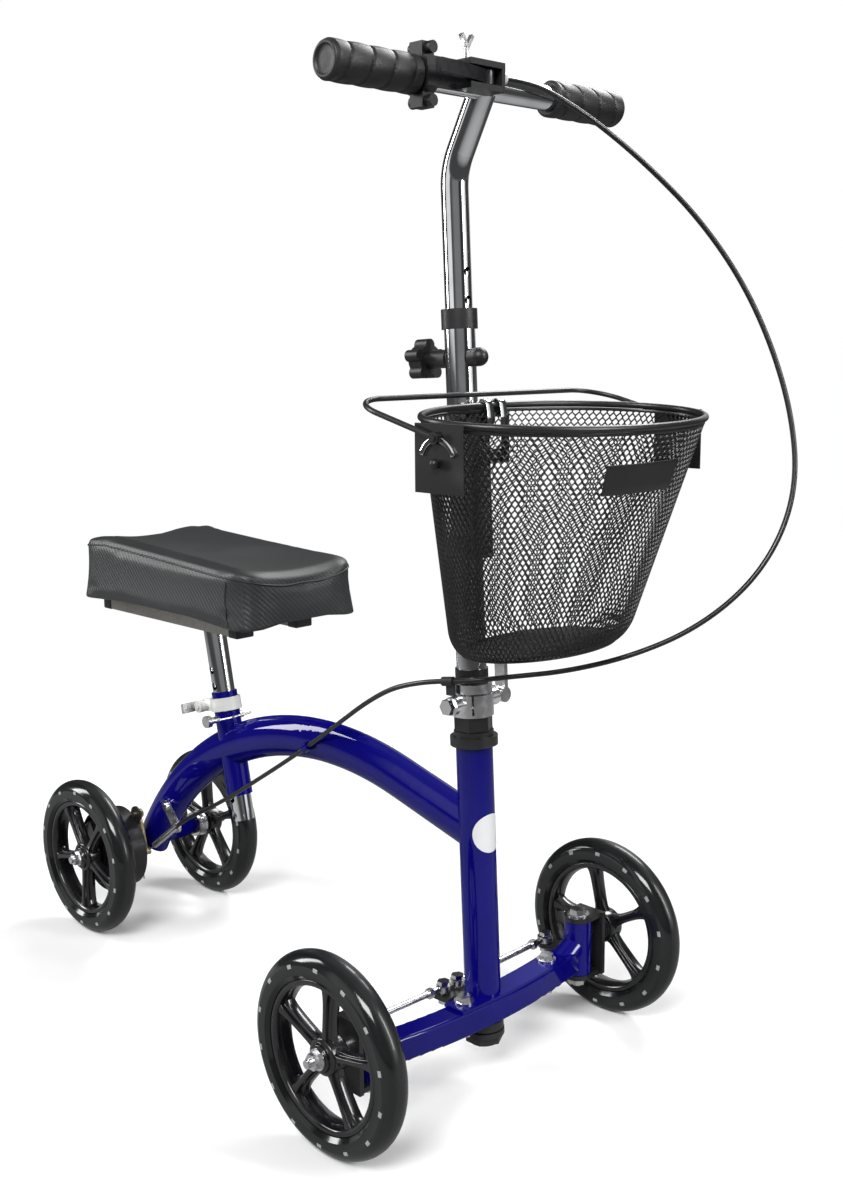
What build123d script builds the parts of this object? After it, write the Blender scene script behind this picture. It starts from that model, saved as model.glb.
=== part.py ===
from build123d import *
from math import sin, cos, tan, atan2, hypot, radians, degrees
import os

# Steerable knee scooter.  Millimetres.  +X travel, +Y the rider's left, +Z up.
# The origin is on the ground, under the middle of the scooter.

# ---- overall layout ------------------------------------------------------
WHEEL_R = 95.0
TYRE_W = 28.7
TYRE_BORE_R = 71.0
RIM_W = 22.0
RIM_INNER_R = 64.0
HUB_R = 17.0
HUB_W = 26.0
SPOKES = 5
SPOKE_W = 11.0
REAR_X = -345.0
WHEELBASE = 581.4
FRONT_HALF_TRACK = 195.5
REAR_HALF_TRACK = 91.0
AXLE_R = 4.0
DRUM_R = 40.0
DRUM_W = 37.2
RUN = 0.05            # running clearance, radial
SOFT = 0.3            # gap between curved faces of different bodies
FRONT_X = REAR_X + WHEELBASE

# ---- steering column -----------------------------------------------------
STEER_X = 240.0       # where the steering axis meets the height STEER_Z
STEER_Z = 78.0
RAKE = 2.617          # degrees, leaning back
STEERER_R = 14.3
HEAD_R = 17.8
HEAD_WALL = 2.0
HEAD_BOTTOM = -17.0   # heights from here on are measured along the axis
HEAD_TOP = 260.0
CUP_R = 23.0
NUT_R = 17.0
FOLD_PIN_H = 302.0
FOLD_PIN_R = 4.0
SOCKET_R = 20.0
CHEEK_GAP = 15.0
COLUMN_R = 14.3
COLUMN_BORE_R = 12.8
COLUMN_BASE = 315.0
COLUMN_TOP = 666.0
BOLT_H = 624.0        # height-adjusting bolt
STEM_R = 12.7
STEM_BORE_R = 11.0
HOLE_PITCH = 25.4
HOLE_STEPS = 3
STEM_BOTTOM = 520.0
BEND_H = 791.0
BEND_R = 60.0
BAR_X = 240.0
BAR_Z = 934.0
BAR_R = 11.1
BAR_HALF = 182.0
GRIP_R = 16.5
GRIP_START = 86.0

# ---- front beam and kingpins ---------------------------------------------
BEAM_BOTTOM = 61.0
BEAM_TOP = 86.0
BEAM_DEPTH = 26.0
BEAM_BOW = 16.0
BEAM_MID_X = 248.0
KINGPIN_Y = 150.0
BEAM_BOLTS = ((244.0, -31.0), (240.0, 95.0))
PLATE_T = 3.0
PLATE_Y = (-48.0, 113.0)
KINGPIN_X = FRONT_X
SLEEVE_R = 14.5
SLEEVE_BOTTOM = 57.0
SLEEVE_TOP = 115.0
PIN_R = 5.0
KNUCKLE_T = 5.0
WEB_Y = 20.0          # from the kingpin to the knuckle's outer plate
ARM_BACK = 45.0       # from a steering pivot back to its tie-rod pin
INNER_PIN_Y = 10.0
ROD_Z = 79.0
ROD_R = 4.0
EYE_R = 7.5
EYE_T = 6.0
ROD_PIN_R = 3.0
OPEN_PIN_CLEARANCE = 1.6

# ---- frame ---------------------------------------------------------------
ARCH_R = 415.0
ARCH_TOP_X = 18.0
ARCH_TOP_Z = 295.0
ARCH_TALL = 46.0
ARCH_WIDE = 32.0
ARCH_WALL = 2.0
ARCH_END_X = 125.0    # where the arc runs out into a straight
SEAT_LEAN = 11.53     # degrees, leaning back
SEAT_X = -144.3
SEAT_Z = 170.3
SEAT_TUBE_R = 14.8
SEAT_TUBE_BORE_R = 12.8
SEAT_TUBE_LOW = 29.0
SEAT_TUBE_TOP = 151.0
POST_R = 12.7
POST_BORE_R = 10.7
SEAT_PIN_H = 120.0
SEAT_PIN_R = 4.0
SEAT_PITCH = 19.05
RAIL_Z = 403.0
RAIL_H = 22.0
RAIL_Y = 41.0

# ---- knee pad ------------------------------------------------------------
PAD_BACK_X = -352.0
PAD_FRONT_X = -20.0
PAD_HALF_W = 81.0
PAD_BOTTOM = 423.5
PAD_TOP_BACK = 500.0
PAD_TOP_FRONT = 486.0
PAD_DIP = 9.0
BOARD_T = 12.0
BOARD_INSET = 9.0

# ---- basket --------------------------------------------------------------
RIM_X = 341.0
RIM_A = 91.0
RIM_B = 154.0
RIM_Z = 653.0
RIM_DROOP = 4.0       # degrees, falling to the front
FLOOR_X = 311.0
FLOOR_A = 60.0
FLOOR_B = 98.0
FLOOR_Z = 447.0
BASKET_WALL = 2.0
RIM_WIRE_R = 3.0
BAIL_WIRE_R = 2.4

CABLE_R = 2.5

os.makedirs("parts", exist_ok=True)

lean_sin = sin(radians(RAKE))
lean_cos = cos(radians(RAKE))
STEER = Plane(
    origin=(STEER_X, 0, STEER_Z),
    x_dir=(lean_cos, 0, lean_sin),
    z_dir=(-lean_sin, 0, lean_cos),
)
seat_sin = sin(radians(SEAT_LEAN))
seat_cos = cos(radians(SEAT_LEAN))
SEAT = Plane(
    origin=(SEAT_X, 0, SEAT_Z),
    x_dir=(seat_cos, 0, seat_sin),
    z_dir=(-seat_sin, 0, seat_cos),
)


def save(part, label):
    """Label a finished piece and write its file."""
    part.label = label
    export_step(part, f"parts/{label}.step")


def along(plane, height, forward=0.0, left=0.0):
    """A point given in a leaning plane's own directions."""
    return plane.from_local_coords(Vector(forward, left, height))


def across(plane, height, forward=0.0, left=0.0):
    """A plane whose normal is +Y, on a leaning axis."""
    spot = along(plane, height, forward, left)
    return Plane(origin=spot, x_dir=plane.x_dir, z_dir=(0, 1, 0))


def facing(plane, height, forward=0.0, left=0.0):
    """A plane whose normal points forward from a leaning axis."""
    spot = along(plane, height, forward, left)
    return Plane(origin=spot, x_dir=(0, 1, 0), z_dir=plane.x_dir)


def rod(plane, radius, low, high, mode=Mode.ADD):
    """A cylinder along a plane's normal between two heights."""
    base = (Align.CENTER, Align.CENTER, Align.MIN)
    with Locations(plane.offset(low)):
        Cylinder(radius, high - low, align=base, mode=mode)


def tube(plane, outer, inner, low, high):
    """A round tube along a plane's normal."""
    rod(plane, outer, low, high)
    rod(plane, inner, low - 1, high + 1, Mode.SUBTRACT)


def block(plane, length, width, low, high, mode=Mode.ADD):
    """A rectangular block along a plane's normal between two heights."""
    base = (Align.CENTER, Align.CENTER, Align.MIN)
    with Locations(plane.offset(low)):
        Box(length, width, high - low, align=base, mode=mode)


# ---- wheels --------------------------------------------------------------
def wheel(name, x, y, phase, drum_side=0):
    """A solid tyre on a five-spoke rim; drum_side adds a brake drum on that side."""
    centre = (x, y, WHEEL_R)
    section = Plane(origin=centre, x_dir=(1, 0, 0), z_dir=(0, 0, 1))
    disc = Plane(origin=centre, x_dir=(1, 0, 0), z_dir=(0, -1, 0))
    spin = Axis(centre, (0, 1, 0))
    half = TYRE_W / 2
    shoulder = WHEEL_R - 11
    with BuildPart() as tyre:
        with BuildSketch(section):
            with BuildLine():
                Polyline(
                    (shoulder, -half),
                    (TYRE_BORE_R + 4, -half),
                    (TYRE_BORE_R, -RIM_W / 2),
                    (TYRE_BORE_R, RIM_W / 2),
                    (TYRE_BORE_R + 4, half),
                    (shoulder, half),
                )
                ThreePointArc((shoulder, -half), (WHEEL_R, 0), (shoulder, half))
            make_face()
        revolve(axis=spin)
    save(tyre.part, f"tyre_{name}")
    with BuildPart() as rim:
        with BuildSketch(disc):
            Circle(RIM_INNER_R + 2)
            Circle(RIM_INNER_R, mode=Mode.SUBTRACT)
            Circle(HUB_R)
            with Locations(Rotation(0, 0, phase)):
                with PolarLocations((HUB_R + RIM_INNER_R) / 2, SPOKES):
                    Rectangle(RIM_INNER_R - HUB_R + 4, SPOKE_W)
        extrude(amount=8, both=True)
        with BuildSketch(disc):
            Circle(TYRE_BORE_R)
            Circle(RIM_INNER_R, mode=Mode.SUBTRACT)
        extrude(amount=RIM_W / 2, both=True)
        with BuildSketch(disc):
            Circle(HUB_R)
        extrude(amount=HUB_W / 2, both=True)
        if drum_side:
            with BuildSketch(disc.offset(HUB_W / 2 * -drum_side)):
                Circle(DRUM_R)
            extrude(amount=-drum_side * DRUM_W)
        with BuildSketch(disc.offset(-60)):
            Circle(AXLE_R + RUN)
        extrude(amount=120, mode=Mode.SUBTRACT)
    save(rim.part, f"rim_{name}")


wheel("front_right", FRONT_X, -FRONT_HALF_TRACK, 13)
wheel("front_left", FRONT_X, FRONT_HALF_TRACK, 30)
wheel("rear_right", REAR_X, -REAR_HALF_TRACK, 50, drum_side=1)
wheel("rear_left", REAR_X, REAR_HALF_TRACK, 22)


# ---- frame ---------------------------------------------------------------
def arch_height(x):
    """Height of the arch tube's centre line on its arc."""
    return ARCH_TOP_Z - ARCH_R + (ARCH_R**2 - (x - ARCH_TOP_X) ** 2) ** 0.5


ARCH_START_X = REAR_X + 8.0
CROSS_R = 12.0
COVER_T = 2.5
COVER_Y = -REAR_HALF_TRACK + HUB_W / 2 + DRUM_W + COVER_T + SOFT
FLANGE_Y = REAR_HALF_TRACK - HUB_W / 2 - 0.5
EYELET = Vector(0, -(ARCH_WIDE / 2 + 4.5), 291)
EYELET_WAY = Vector(-0.83, 0, -0.56)
arch_start = (ARCH_START_X, 0, arch_height(ARCH_START_X))
arch_mid = (-144, 0, arch_height(-144))
arch_end = (ARCH_END_X, 0, arch_height(ARCH_END_X))
end_slope = (ARCH_END_X - ARCH_TOP_X) / (arch_height(ARCH_END_X) - ARCH_TOP_Z + ARCH_R)
nose_x = STEER_X - 10.0
arch_nose = (nose_x, 0, arch_end[2] - (nose_x - ARCH_END_X) * end_slope)
start_tangent = Vector(arch_start[2] - ARCH_TOP_Z + ARCH_R, 0, ARCH_TOP_X - ARCH_START_X)

with BuildPart() as arch:
    with BuildLine() as arch_path:
        ThreePointArc(arch_start, arch_mid, arch_end)
        Line(arch_end, arch_nose)
    with BuildSketch(Plane(origin=arch_start, x_dir=(0, 1, 0), z_dir=start_tangent)):
        Ellipse(ARCH_WIDE / 2, ARCH_TALL / 2)
        Ellipse(ARCH_WIDE / 2 - ARCH_WALL, ARCH_TALL / 2 - ARCH_WALL, mode=Mode.SUBTRACT)
    sweep(path=arch_path.line)
    cross = Plane(origin=(REAR_X, 0, WHEEL_R), x_dir=(1, 0, 0), z_dir=(0, 1, 0))
    rod(cross, CROSS_R, COVER_Y, FLANGE_Y - 12)
    rod(cross, AXLE_R + RUN, -90, 90, Mode.SUBTRACT)
    rod(STEER, HEAD_R, HEAD_BOTTOM, HEAD_TOP, Mode.SUBTRACT)
    rod(SEAT, SEAT_TUBE_R, SEAT_TUBE_LOW, SEAT_TUBE_TOP, Mode.SUBTRACT)
    eyelet_plane = Plane(origin=EYELET, x_dir=(0, 1, 0), z_dir=EYELET_WAY)
    rod(eyelet_plane, 5, -4, 4)
    rod(eyelet_plane, CABLE_R + RUN, -5, 5, Mode.SUBTRACT)
save(arch.part, "arch_tube")

with BuildPart() as head:
    tube(STEER, HEAD_R, HEAD_R - HEAD_WALL, HEAD_BOTTOM, HEAD_TOP)
save(head.part, "head_tube")

with BuildPart() as seat_tube:
    tube(SEAT, SEAT_TUBE_R, SEAT_TUBE_BORE_R, SEAT_TUBE_LOW, SEAT_TUBE_TOP)
    rod(across(SEAT, SEAT_PIN_H), SEAT_PIN_R + RUN, -30, 30, Mode.SUBTRACT)
save(seat_tube.part, "seat_tube")

with BuildPart() as beam:
    end_x = BEAM_MID_X - BEAM_BOW
    with BuildSketch(Plane.XY.offset(BEAM_BOTTOM)):
        with BuildLine() as beam_line:
            ThreePointArc((end_x, -KINGPIN_Y), (BEAM_MID_X, 0), (end_x, KINGPIN_Y))
        trace(line_width=BEAM_DEPTH)
    extrude(amount=BEAM_TOP - BEAM_BOTTOM)
    fillet(beam.edges().filter_by(GeomType.CIRCLE), radius=3)
    for side in (-1, 1):
        sleeve = Plane(origin=(KINGPIN_X, side * KINGPIN_Y, 0))
        low = Vector(end_x + 4, side * (KINGPIN_Y - 32), (BEAM_BOTTOM + BEAM_TOP) / 2)
        high = Vector(KINGPIN_X, side * KINGPIN_Y, BEAM_TOP + 4)
        rod(sleeve, SLEEVE_R, SLEEVE_BOTTOM, SLEEVE_TOP)
        neck = Plane(origin=low, z_dir=high - low)
        rod(neck, BEAM_DEPTH / 2 - 0.4, 0, (high - low).length)
        beyond = Plane(origin=(KINGPIN_X, side * (KINGPIN_Y + 20), 0))
        block(beyond, 60, 40, SLEEVE_BOTTOM - 20, SLEEVE_TOP, Mode.SUBTRACT)
        rod(sleeve, SLEEVE_R, SLEEVE_BOTTOM, SLEEVE_TOP)
        rod(sleeve, PIN_R + RUN, SLEEVE_BOTTOM - 1, SLEEVE_TOP + 1, Mode.SUBTRACT)
    rod(STEER, HEAD_R, HEAD_BOTTOM - 5, HEAD_TOP, Mode.SUBTRACT)
    with BuildSketch(Plane.XY.offset(BEAM_BOTTOM - 1)):
        with Locations(*BEAM_BOLTS):
            Circle(AXLE_R)
    extrude(amount=40, mode=Mode.SUBTRACT)
save(beam.part, "front_beam")

with BuildPart() as plate:
    with BuildSketch(Plane.XY.offset(BEAM_TOP)):
        with BuildLine():
            ThreePointArc((end_x, -KINGPIN_Y), (BEAM_MID_X, 0), (end_x, KINGPIN_Y))
        trace(line_width=BEAM_DEPTH - 1)
        with Locations((BEAM_MID_X, (PLATE_Y[0] + PLATE_Y[1]) / 2)):
            Rectangle(90, PLATE_Y[1] - PLATE_Y[0], mode=Mode.INTERSECT)
        with Locations(*BEAM_BOLTS):
            Circle(AXLE_R, mode=Mode.SUBTRACT)
    extrude(amount=PLATE_T)
    rod(STEER, HEAD_R, HEAD_BOTTOM - 5, HEAD_TOP, Mode.SUBTRACT)
save(plate.part, "foot_plate")

with BuildPart() as bolts:
    for spot in BEAM_BOLTS:
        stud = Plane(origin=(*spot, 0))
        rod(stud, AXLE_R, BEAM_BOTTOM - 8, BEAM_TOP + PLATE_T)
        rod(stud, 10, BEAM_TOP + PLATE_T, BEAM_TOP + PLATE_T + 1.5)
        with BuildSketch(Plane.XY.offset(BEAM_TOP + PLATE_T + 1.5)):
            with Locations(spot):
                RegularPolygon(8.5, 6)
        extrude(amount=4.5, taper=12)
        with BuildSketch(Plane.XY.offset(BEAM_BOTTOM - 6.5)):
            with Locations(spot):
                RegularPolygon(7.5, 6)
        extrude(amount=6.5)
save(bolts.part, "beam_bolts")

with BuildPart() as rear_axle:
    end = REAR_HALF_TRACK + HUB_W / 2
    rod(cross, AXLE_R, -end - 12, end + 12)
    for way in (cross, Plane(origin=(REAR_X, 0, WHEEL_R), x_dir=(1, 0, 0), z_dir=(0, -1, 0))):
        rod(way, 9, end + SOFT, end + 2)
        with BuildSketch(way.offset(end + 2)):
            RegularPolygon(7.5, 6)
        extrude(amount=6.5)
    rod(cross, 16.5, FLANGE_Y - 3, FLANGE_Y)
    rod(cross, 13, FLANGE_Y - 9, FLANGE_Y - 3)
    rod(cross, 16, FLANGE_Y - 12, FLANGE_Y - 9)
save(rear_axle.part, "rear_axle")

with BuildPart() as cups:
    rod(STEER, CUP_R, HEAD_TOP, HEAD_TOP + 9)
    rod(STEER, HEAD_R + 1.5, HEAD_TOP + 9, HEAD_TOP + 14)
    rod(STEER, HEAD_R - HEAD_WALL, HEAD_TOP - 12, HEAD_TOP)
    rod(STEER, HEAD_R - HEAD_WALL, HEAD_BOTTOM - 2, HEAD_BOTTOM + 12)
    rod(STEER, 19.5, HEAD_BOTTOM - 9, HEAD_BOTTOM - 1)
    rod(STEER, STEERER_R + RUN, HEAD_BOTTOM - 20, HEAD_TOP + 20, Mode.SUBTRACT)
save(cups.part, "headset_cups")

# ---- seat clamp, lever and locking pin -----------------------------------
CLAMP_LOW = 129.0
CLAMP_TOP = 144.0
EAR_X = -26.0
CAM_Y = 17.0
CAM_R = 7.6
with BuildPart() as clamp:
    rod(SEAT, SEAT_TUBE_R + 3, CLAMP_LOW, CLAMP_TOP)
    for side in (-1, 1):
        ear = SEAT.shift_origin(along(SEAT, 0, EAR_X + 6, side * 5))
        block(ear, 24, 7, CLAMP_LOW, CLAMP_TOP)
    middle = (CLAMP_LOW + CLAMP_TOP) / 2
    skewer = across(SEAT, middle, EAR_X)
    block(SEAT.shift_origin(along(SEAT, 0, EAR_X)), 30, 3, CLAMP_LOW, CLAMP_TOP, Mode.SUBTRACT)
    rod(SEAT, SEAT_TUBE_R, CLAMP_LOW - 1, CLAMP_TOP + 1, Mode.SUBTRACT)
    rod(skewer, 3, -24, 9)
    rod(skewer, 7, -22, -15)
    rod(skewer, 4.5, -15, -8.5)
save(clamp.part, "seat_clamp")

with BuildPart() as seat_lever:
    cam = SEAT.shift_origin(along(SEAT, 0, EAR_X, CAM_Y))
    rod(cam, CAM_R, CLAMP_LOW + 1, CLAMP_TOP - 1)
    block(cam.shift_origin(along(SEAT, 0, EAR_X - 8, CAM_Y)), 14, 8, CLAMP_LOW + 2, CLAMP_TOP - 2)
    block(cam.shift_origin(along(SEAT, 0, EAR_X - 13, -7)), 4, 56, CLAMP_LOW + 2, CLAMP_TOP - 2)
save(seat_lever.part, "seat_lever")

with BuildPart() as seat_pin:
    pin_line = across(SEAT, SEAT_PIN_H)
    rod(pin_line, SEAT_PIN_R, -26, 21)
    rod(pin_line, 7, -32, -26)
    with BuildLine() as wire_path:
        start = along(SEAT, SEAT_PIN_H, 5, -29)
        FilletPolyline(
            start,
            along(SEAT, SEAT_PIN_H + 1, 18, -26),
            along(SEAT, SEAT_PIN_H + 2, 29, -12),
            along(SEAT, SEAT_PIN_H + 3, 30, 12),
            radius=8,
        )
    with BuildSketch(Plane(origin=wire_path.line @ 0, z_dir=wire_path.line % 0)):
        Circle(1.2)
    sweep(path=wire_path.line)
save(seat_pin.part, "seat_pin")

# ---- seat ----------------------------------------------------------------
POST_TOP = 251.0
PLATE_LOW = 416.0
post_top = along(SEAT, POST_TOP)
HOLES_BELOW = 6
HOLES_ABOVE = 3
with BuildPart() as post:
    tube(SEAT, POST_R, POST_BORE_R, -1, POST_TOP)
    for step in range(-HOLES_BELOW, HOLES_ABOVE + 1):
        hole = across(SEAT, SEAT_PIN_H + step * SEAT_PITCH)
        rod(hole, SEAT_PIN_R + SOFT, -30, 30, Mode.SUBTRACT)
save(post.part, "seat_post")

with BuildPart() as rails:
    rail_x = (PAD_BACK_X + 12 + PAD_FRONT_X - 57) / 2
    rail_length = PAD_FRONT_X - 57 - PAD_BACK_X - 12
    for side in (-1, 1):
        rail = Plane(origin=(rail_x, side * RAIL_Y, 0))
        block(rail, rail_length, RAIL_H, RAIL_Z, RAIL_Z + RAIL_H)
        block(rail, rail_length - 8, RAIL_H - 4, RAIL_Z + 2, RAIL_Z + RAIL_H - 2, Mode.SUBTRACT)
    carrier = Plane(origin=(post_top.X, 0, 0))
    block(carrier, 62, 2 * RAIL_Y - RAIL_H, PLATE_LOW, RAIL_Z + RAIL_H)
    rod(SEAT, POST_R + 3.5, POST_TOP - 21, POST_TOP - 1)
    rod(SEAT, POST_R, 0, POST_TOP, Mode.SUBTRACT)
save(rails.part, "seat_rails")

pad_x = (PAD_BACK_X + PAD_FRONT_X) / 2
pad_length = PAD_FRONT_X - PAD_BACK_X
board_low = RAIL_Z + RAIL_H
with BuildPart() as board:
    under = Plane(origin=(pad_x, 0, 0))
    block(under, pad_length - 2 * BOARD_INSET, 2 * (PAD_HALF_W - BOARD_INSET), board_low, board_low + BOARD_T)
save(board.part, "seat_board")

with BuildPart() as pad:
    with BuildSketch(Plane.XZ.offset(-PAD_HALF_W)):
        with BuildLine():
            Polyline(
                (PAD_BACK_X, PAD_BOTTOM),
                (PAD_FRONT_X, PAD_BOTTOM),
                (PAD_FRONT_X, PAD_TOP_FRONT),
                (PAD_BACK_X + 60, PAD_TOP_BACK),
                (PAD_BACK_X, PAD_TOP_BACK - 6),
                close=True,
            )
        make_face()
    extrude(amount=2 * PAD_HALF_W)
    fillet(pad.edges().filter_by(Axis.Z), radius=14)
    trough_r = (PAD_HALF_W**2 + PAD_DIP**2) / (2 * PAD_DIP)
    trough_z = (PAD_TOP_BACK + PAD_TOP_FRONT) / 2 - PAD_DIP + trough_r
    slope = degrees(atan2(PAD_TOP_FRONT - PAD_TOP_BACK, pad_length - 60))
    trough = Plane(origin=(pad_x, 0, trough_z), x_dir=(0, 1, 0), z_dir=(cos(radians(slope)), 0, sin(radians(slope))))
    rod(trough, trough_r, -pad_length, pad_length, Mode.SUBTRACT)
    block(under, pad_length - 2 * BOARD_INSET, 2 * (PAD_HALF_W - BOARD_INSET), 400, board_low + BOARD_T, Mode.SUBTRACT)
save(pad.part, "knee_pad")

# ---- rear brake ----------------------------------------------------------
COVER_R = 50.0
ARM_PIVOT = (31.0, 48.0)       # from the axle, forward and up
ARM_END = (44.0, 2.0)
STOP = Vector(REAR_X + 91, -23, 136)
arm_pivot = Plane(origin=(REAR_X + ARM_PIVOT[0], 0, WHEEL_R + ARM_PIVOT[1]), x_dir=(1, 0, 0), z_dir=(0, 1, 0))
arm_end = Plane(origin=(REAR_X + ARM_END[0], 0, WHEEL_R + ARM_END[1]), x_dir=(1, 0, 0), z_dir=(0, 1, 0))
with BuildPart() as cover:
    rod(cross, COVER_R, COVER_Y - 32, COVER_Y)
    rod(cross, COVER_R - COVER_T, COVER_Y - 33, COVER_Y - COVER_T, Mode.SUBTRACT)
    rod(arm_pivot, 10, COVER_Y - COVER_T, COVER_Y)
    rod(arm_pivot, 3 + RUN, COVER_Y - 10, COVER_Y + 1, Mode.SUBTRACT)
    rod(cross, AXLE_R + RUN, COVER_Y - 40, COVER_Y + 1, Mode.SUBTRACT)
save(cover.part, "brake_cover")

with BuildPart() as arm:
    face_y = COVER_Y + SOFT
    reach = hypot(ARM_END[0] - ARM_PIVOT[0], ARM_END[1] - ARM_PIVOT[1])
    lean = degrees(atan2(ARM_END[1] - ARM_PIVOT[1], ARM_END[0] - ARM_PIVOT[0]))
    with BuildSketch(Plane.XZ.offset(-face_y)):
        with Locations(Location(((ARM_PIVOT[0] + ARM_END[0]) / 2 + REAR_X, (ARM_PIVOT[1] + ARM_END[1]) / 2 + WHEEL_R, 0), (0, 0, lean))):
            SlotCenterToCenter(reach, 9)
        with Locations(Location((REAR_X + ARM_PIVOT[0] - 13, WHEEL_R + ARM_PIVOT[1] - 8, 0), (0, 0, 30))):
            SlotCenterToCenter(26, 10)
    extrude(amount=-3)
    rod(arm_pivot, 3, COVER_Y - COVER_T - 3, face_y + 5)
    rod(arm_pivot, 5.5, face_y + 3, face_y + 6)
    rod(arm_end, 4.5, face_y, face_y + 7)
    wire_way = Plane(origin=(REAR_X + ARM_END[0], face_y + 5, WHEEL_R + ARM_END[1]), z_dir=STOP - Vector(REAR_X + ARM_END[0], face_y + 5, WHEEL_R + ARM_END[1]))
    rod(wire_way, 1.0, -12, 12, Mode.SUBTRACT)
save(arm.part, "brake_arm")

nut_spot = Vector(REAR_X + ARM_END[0], face_y + 5, WHEEL_R + ARM_END[1])
with BuildPart() as stop:
    way = STOP - nut_spot
    with BuildSketch(Plane.XZ.offset(ARCH_WIDE / 2)):
        with Locations(Location((REAR_X + 77, 146, 0), (0, 0, -47))):
            SlotOverall(44, 14)
    extrude(amount=3)
    barrel = Plane(origin=STOP, z_dir=way)
    rod(barrel, 4.5, -5, 5)
    rod(Plane(origin=(REAR_X + 68, 0, 156), x_dir=(1, 0, 0), z_dir=(0, -1, 0)), 4.5, ARCH_WIDE / 2 + 3, ARCH_WIDE / 2 + 6)
    rod(barrel, CABLE_R + RUN, 0, 20, Mode.SUBTRACT)
    rod(barrel, 1.0, -20, 20, Mode.SUBTRACT)
save(stop.part, "cable_stop")

with BuildPart() as spring:
    coil = Plane(origin=nut_spot, z_dir=way)
    tube(coil, 4, 1.05, 15, way.length - 5.3)
save(spring.part, "brake_spring")

# ---- steerer -------------------------------------------------------------
ARM_LOW = -33.0
ARM_T = 5.5
SOCKET_LOW = 289.0
SOCKET_TOP = 310.3
PITMAN_Z = 70.0
with BuildPart() as steerer:
    tube(STEER, STEERER_R, STEERER_R - 2.3, ARM_LOW - 9, SOCKET_LOW)
save(steerer.part, "steerer_tube")

with BuildPart() as nuts:
    with BuildSketch(STEER.offset(HEAD_TOP + 14.4)):
        RegularPolygon(NUT_R + 2, 6)
    extrude(amount=SOCKET_LOW - HEAD_TOP - 14.4)
    with BuildSketch(STEER.offset(ARM_LOW - 7)):
        RegularPolygon(NUT_R + 2, 6)
    extrude(amount=7)
    rod(STEER, STEERER_R, ARM_LOW - 20, SOCKET_LOW + 20, Mode.SUBTRACT)
save(nuts.part, "steerer_nuts")

with BuildPart() as pitman:
    rod(STEER, 20, ARM_LOW, ARM_LOW + ARM_T)
    strap = STEER.shift_origin(along(STEER, 0, -23))
    block(strap, 26, 26, ARM_LOW, ARM_LOW + ARM_T)
    riser = STEER.shift_origin(along(STEER, 0, -33.5))
    block(riser, 5, 26, ARM_LOW, -3)
    tray = STEER.shift_origin(along(STEER, 0, -44))
    block(tray, 26, 2 * INNER_PIN_Y + 15, -8, -3)
    for side in (-1, 1):
        pin_axis = STEER.shift_origin(along(STEER, 0, -ARM_BACK, side * INNER_PIN_Y))
        rod(pin_axis, ROD_PIN_R, -10, -1, Mode.SUBTRACT)
    rod(STEER, STEERER_R, ARM_LOW - 1, 0, Mode.SUBTRACT)
save(pitman.part, "pitman_arm")

with BuildPart() as socket:
    rod(STEER, SOCKET_R, SOCKET_LOW, SOCKET_TOP)
    rod(across(STEER, FOLD_PIN_H), 9, -30, 30)
    slot = STEER.shift_origin(along(STEER, 0, -10.2))
    block(slot, 50, 2 * CHEEK_GAP, SOCKET_LOW + 2.8, SOCKET_TOP + 5, Mode.SUBTRACT)
    with BuildSketch(across(STEER, FOLD_PIN_H).offset(-40)):
        with Locations((-15, 0)):
            Rectangle(30, 30)
        Circle(9.4, mode=Mode.SUBTRACT)
        with Locations((0, 9.5)):
            Rectangle(80, 14, mode=Mode.SUBTRACT)
    extrude(amount=80, mode=Mode.SUBTRACT)
    rod(across(STEER, FOLD_PIN_H), FOLD_PIN_R, -40, 40, Mode.SUBTRACT)
save(socket.part, "fold_socket")

with BuildPart() as fold_bolts:
    fold_line = across(STEER, FOLD_PIN_H)
    rod(fold_line, FOLD_PIN_R, -36, 29.5)
    with BuildSketch(fold_line.offset(-37)):
        RegularPolygon(8, 6)
    extrude(amount=7)
    for side in (-1, 1):
        pin_axis = STEER.shift_origin(along(STEER, 0, -ARM_BACK, side * INNER_PIN_Y))
        rod(pin_axis, ROD_PIN_R, -12, 7)
        with BuildSketch(pin_axis.offset(6.5)):
            RegularPolygon(6.5, 6)
        extrude(amount=4)
        with BuildSketch(pin_axis.offset(-13)):
            RegularPolygon(6, 6)
        extrude(amount=5)
save(fold_bolts.part, "steerer_bolts")

CLIP = along(STEER, 325, -5, -27)
CLIP_WAY = Vector(-0.96, -0.2, -0.14).normalized()
with BuildPart() as clip:
    clip_plane = Plane(origin=CLIP, z_dir=CLIP_WAY)
    rod(clip_plane, 4.5, -6, 6)
    tab = STEER.shift_origin(along(STEER, 0, -5, -24))
    block(tab, 9, 4, FOLD_PIN_H + 9, 325)
    rod(clip_plane, CABLE_R, -8, 8, Mode.SUBTRACT)
save(clip.part, "cable_clip")

with BuildPart() as fold_lever:
    cam_spot = along(STEER, FOLD_PIN_H, 0, 38)
    cam_line = Plane(origin=cam_spot, x_dir=(0, 1, 0), z_dir=STEER.x_dir)
    rod(cam_line, 7.5, -8, 8)
    lever_plane = STEER.shift_origin(along(STEER, 0, 0, 41))
    block(lever_plane, 13, 4.5, FOLD_PIN_H, FOLD_PIN_H + 40)
save(fold_lever.part, "fold_lever")

# ---- column --------------------------------------------------------------
RING_LOW = 312.0
RING_R = 19.2
RING_TOP = 320.5
BAND_TOP = 334.5
COLLAR_LOW = 650.0
LIP = 2.0
with BuildPart() as column:
    tube(STEER, COLUMN_R, COLUMN_BORE_R, COLUMN_BASE, COLUMN_TOP)
    rod(facing(STEER, BOLT_H), AXLE_R + RUN, -30, 30, Mode.SUBTRACT)
save(column.part, "column_tube")

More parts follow.
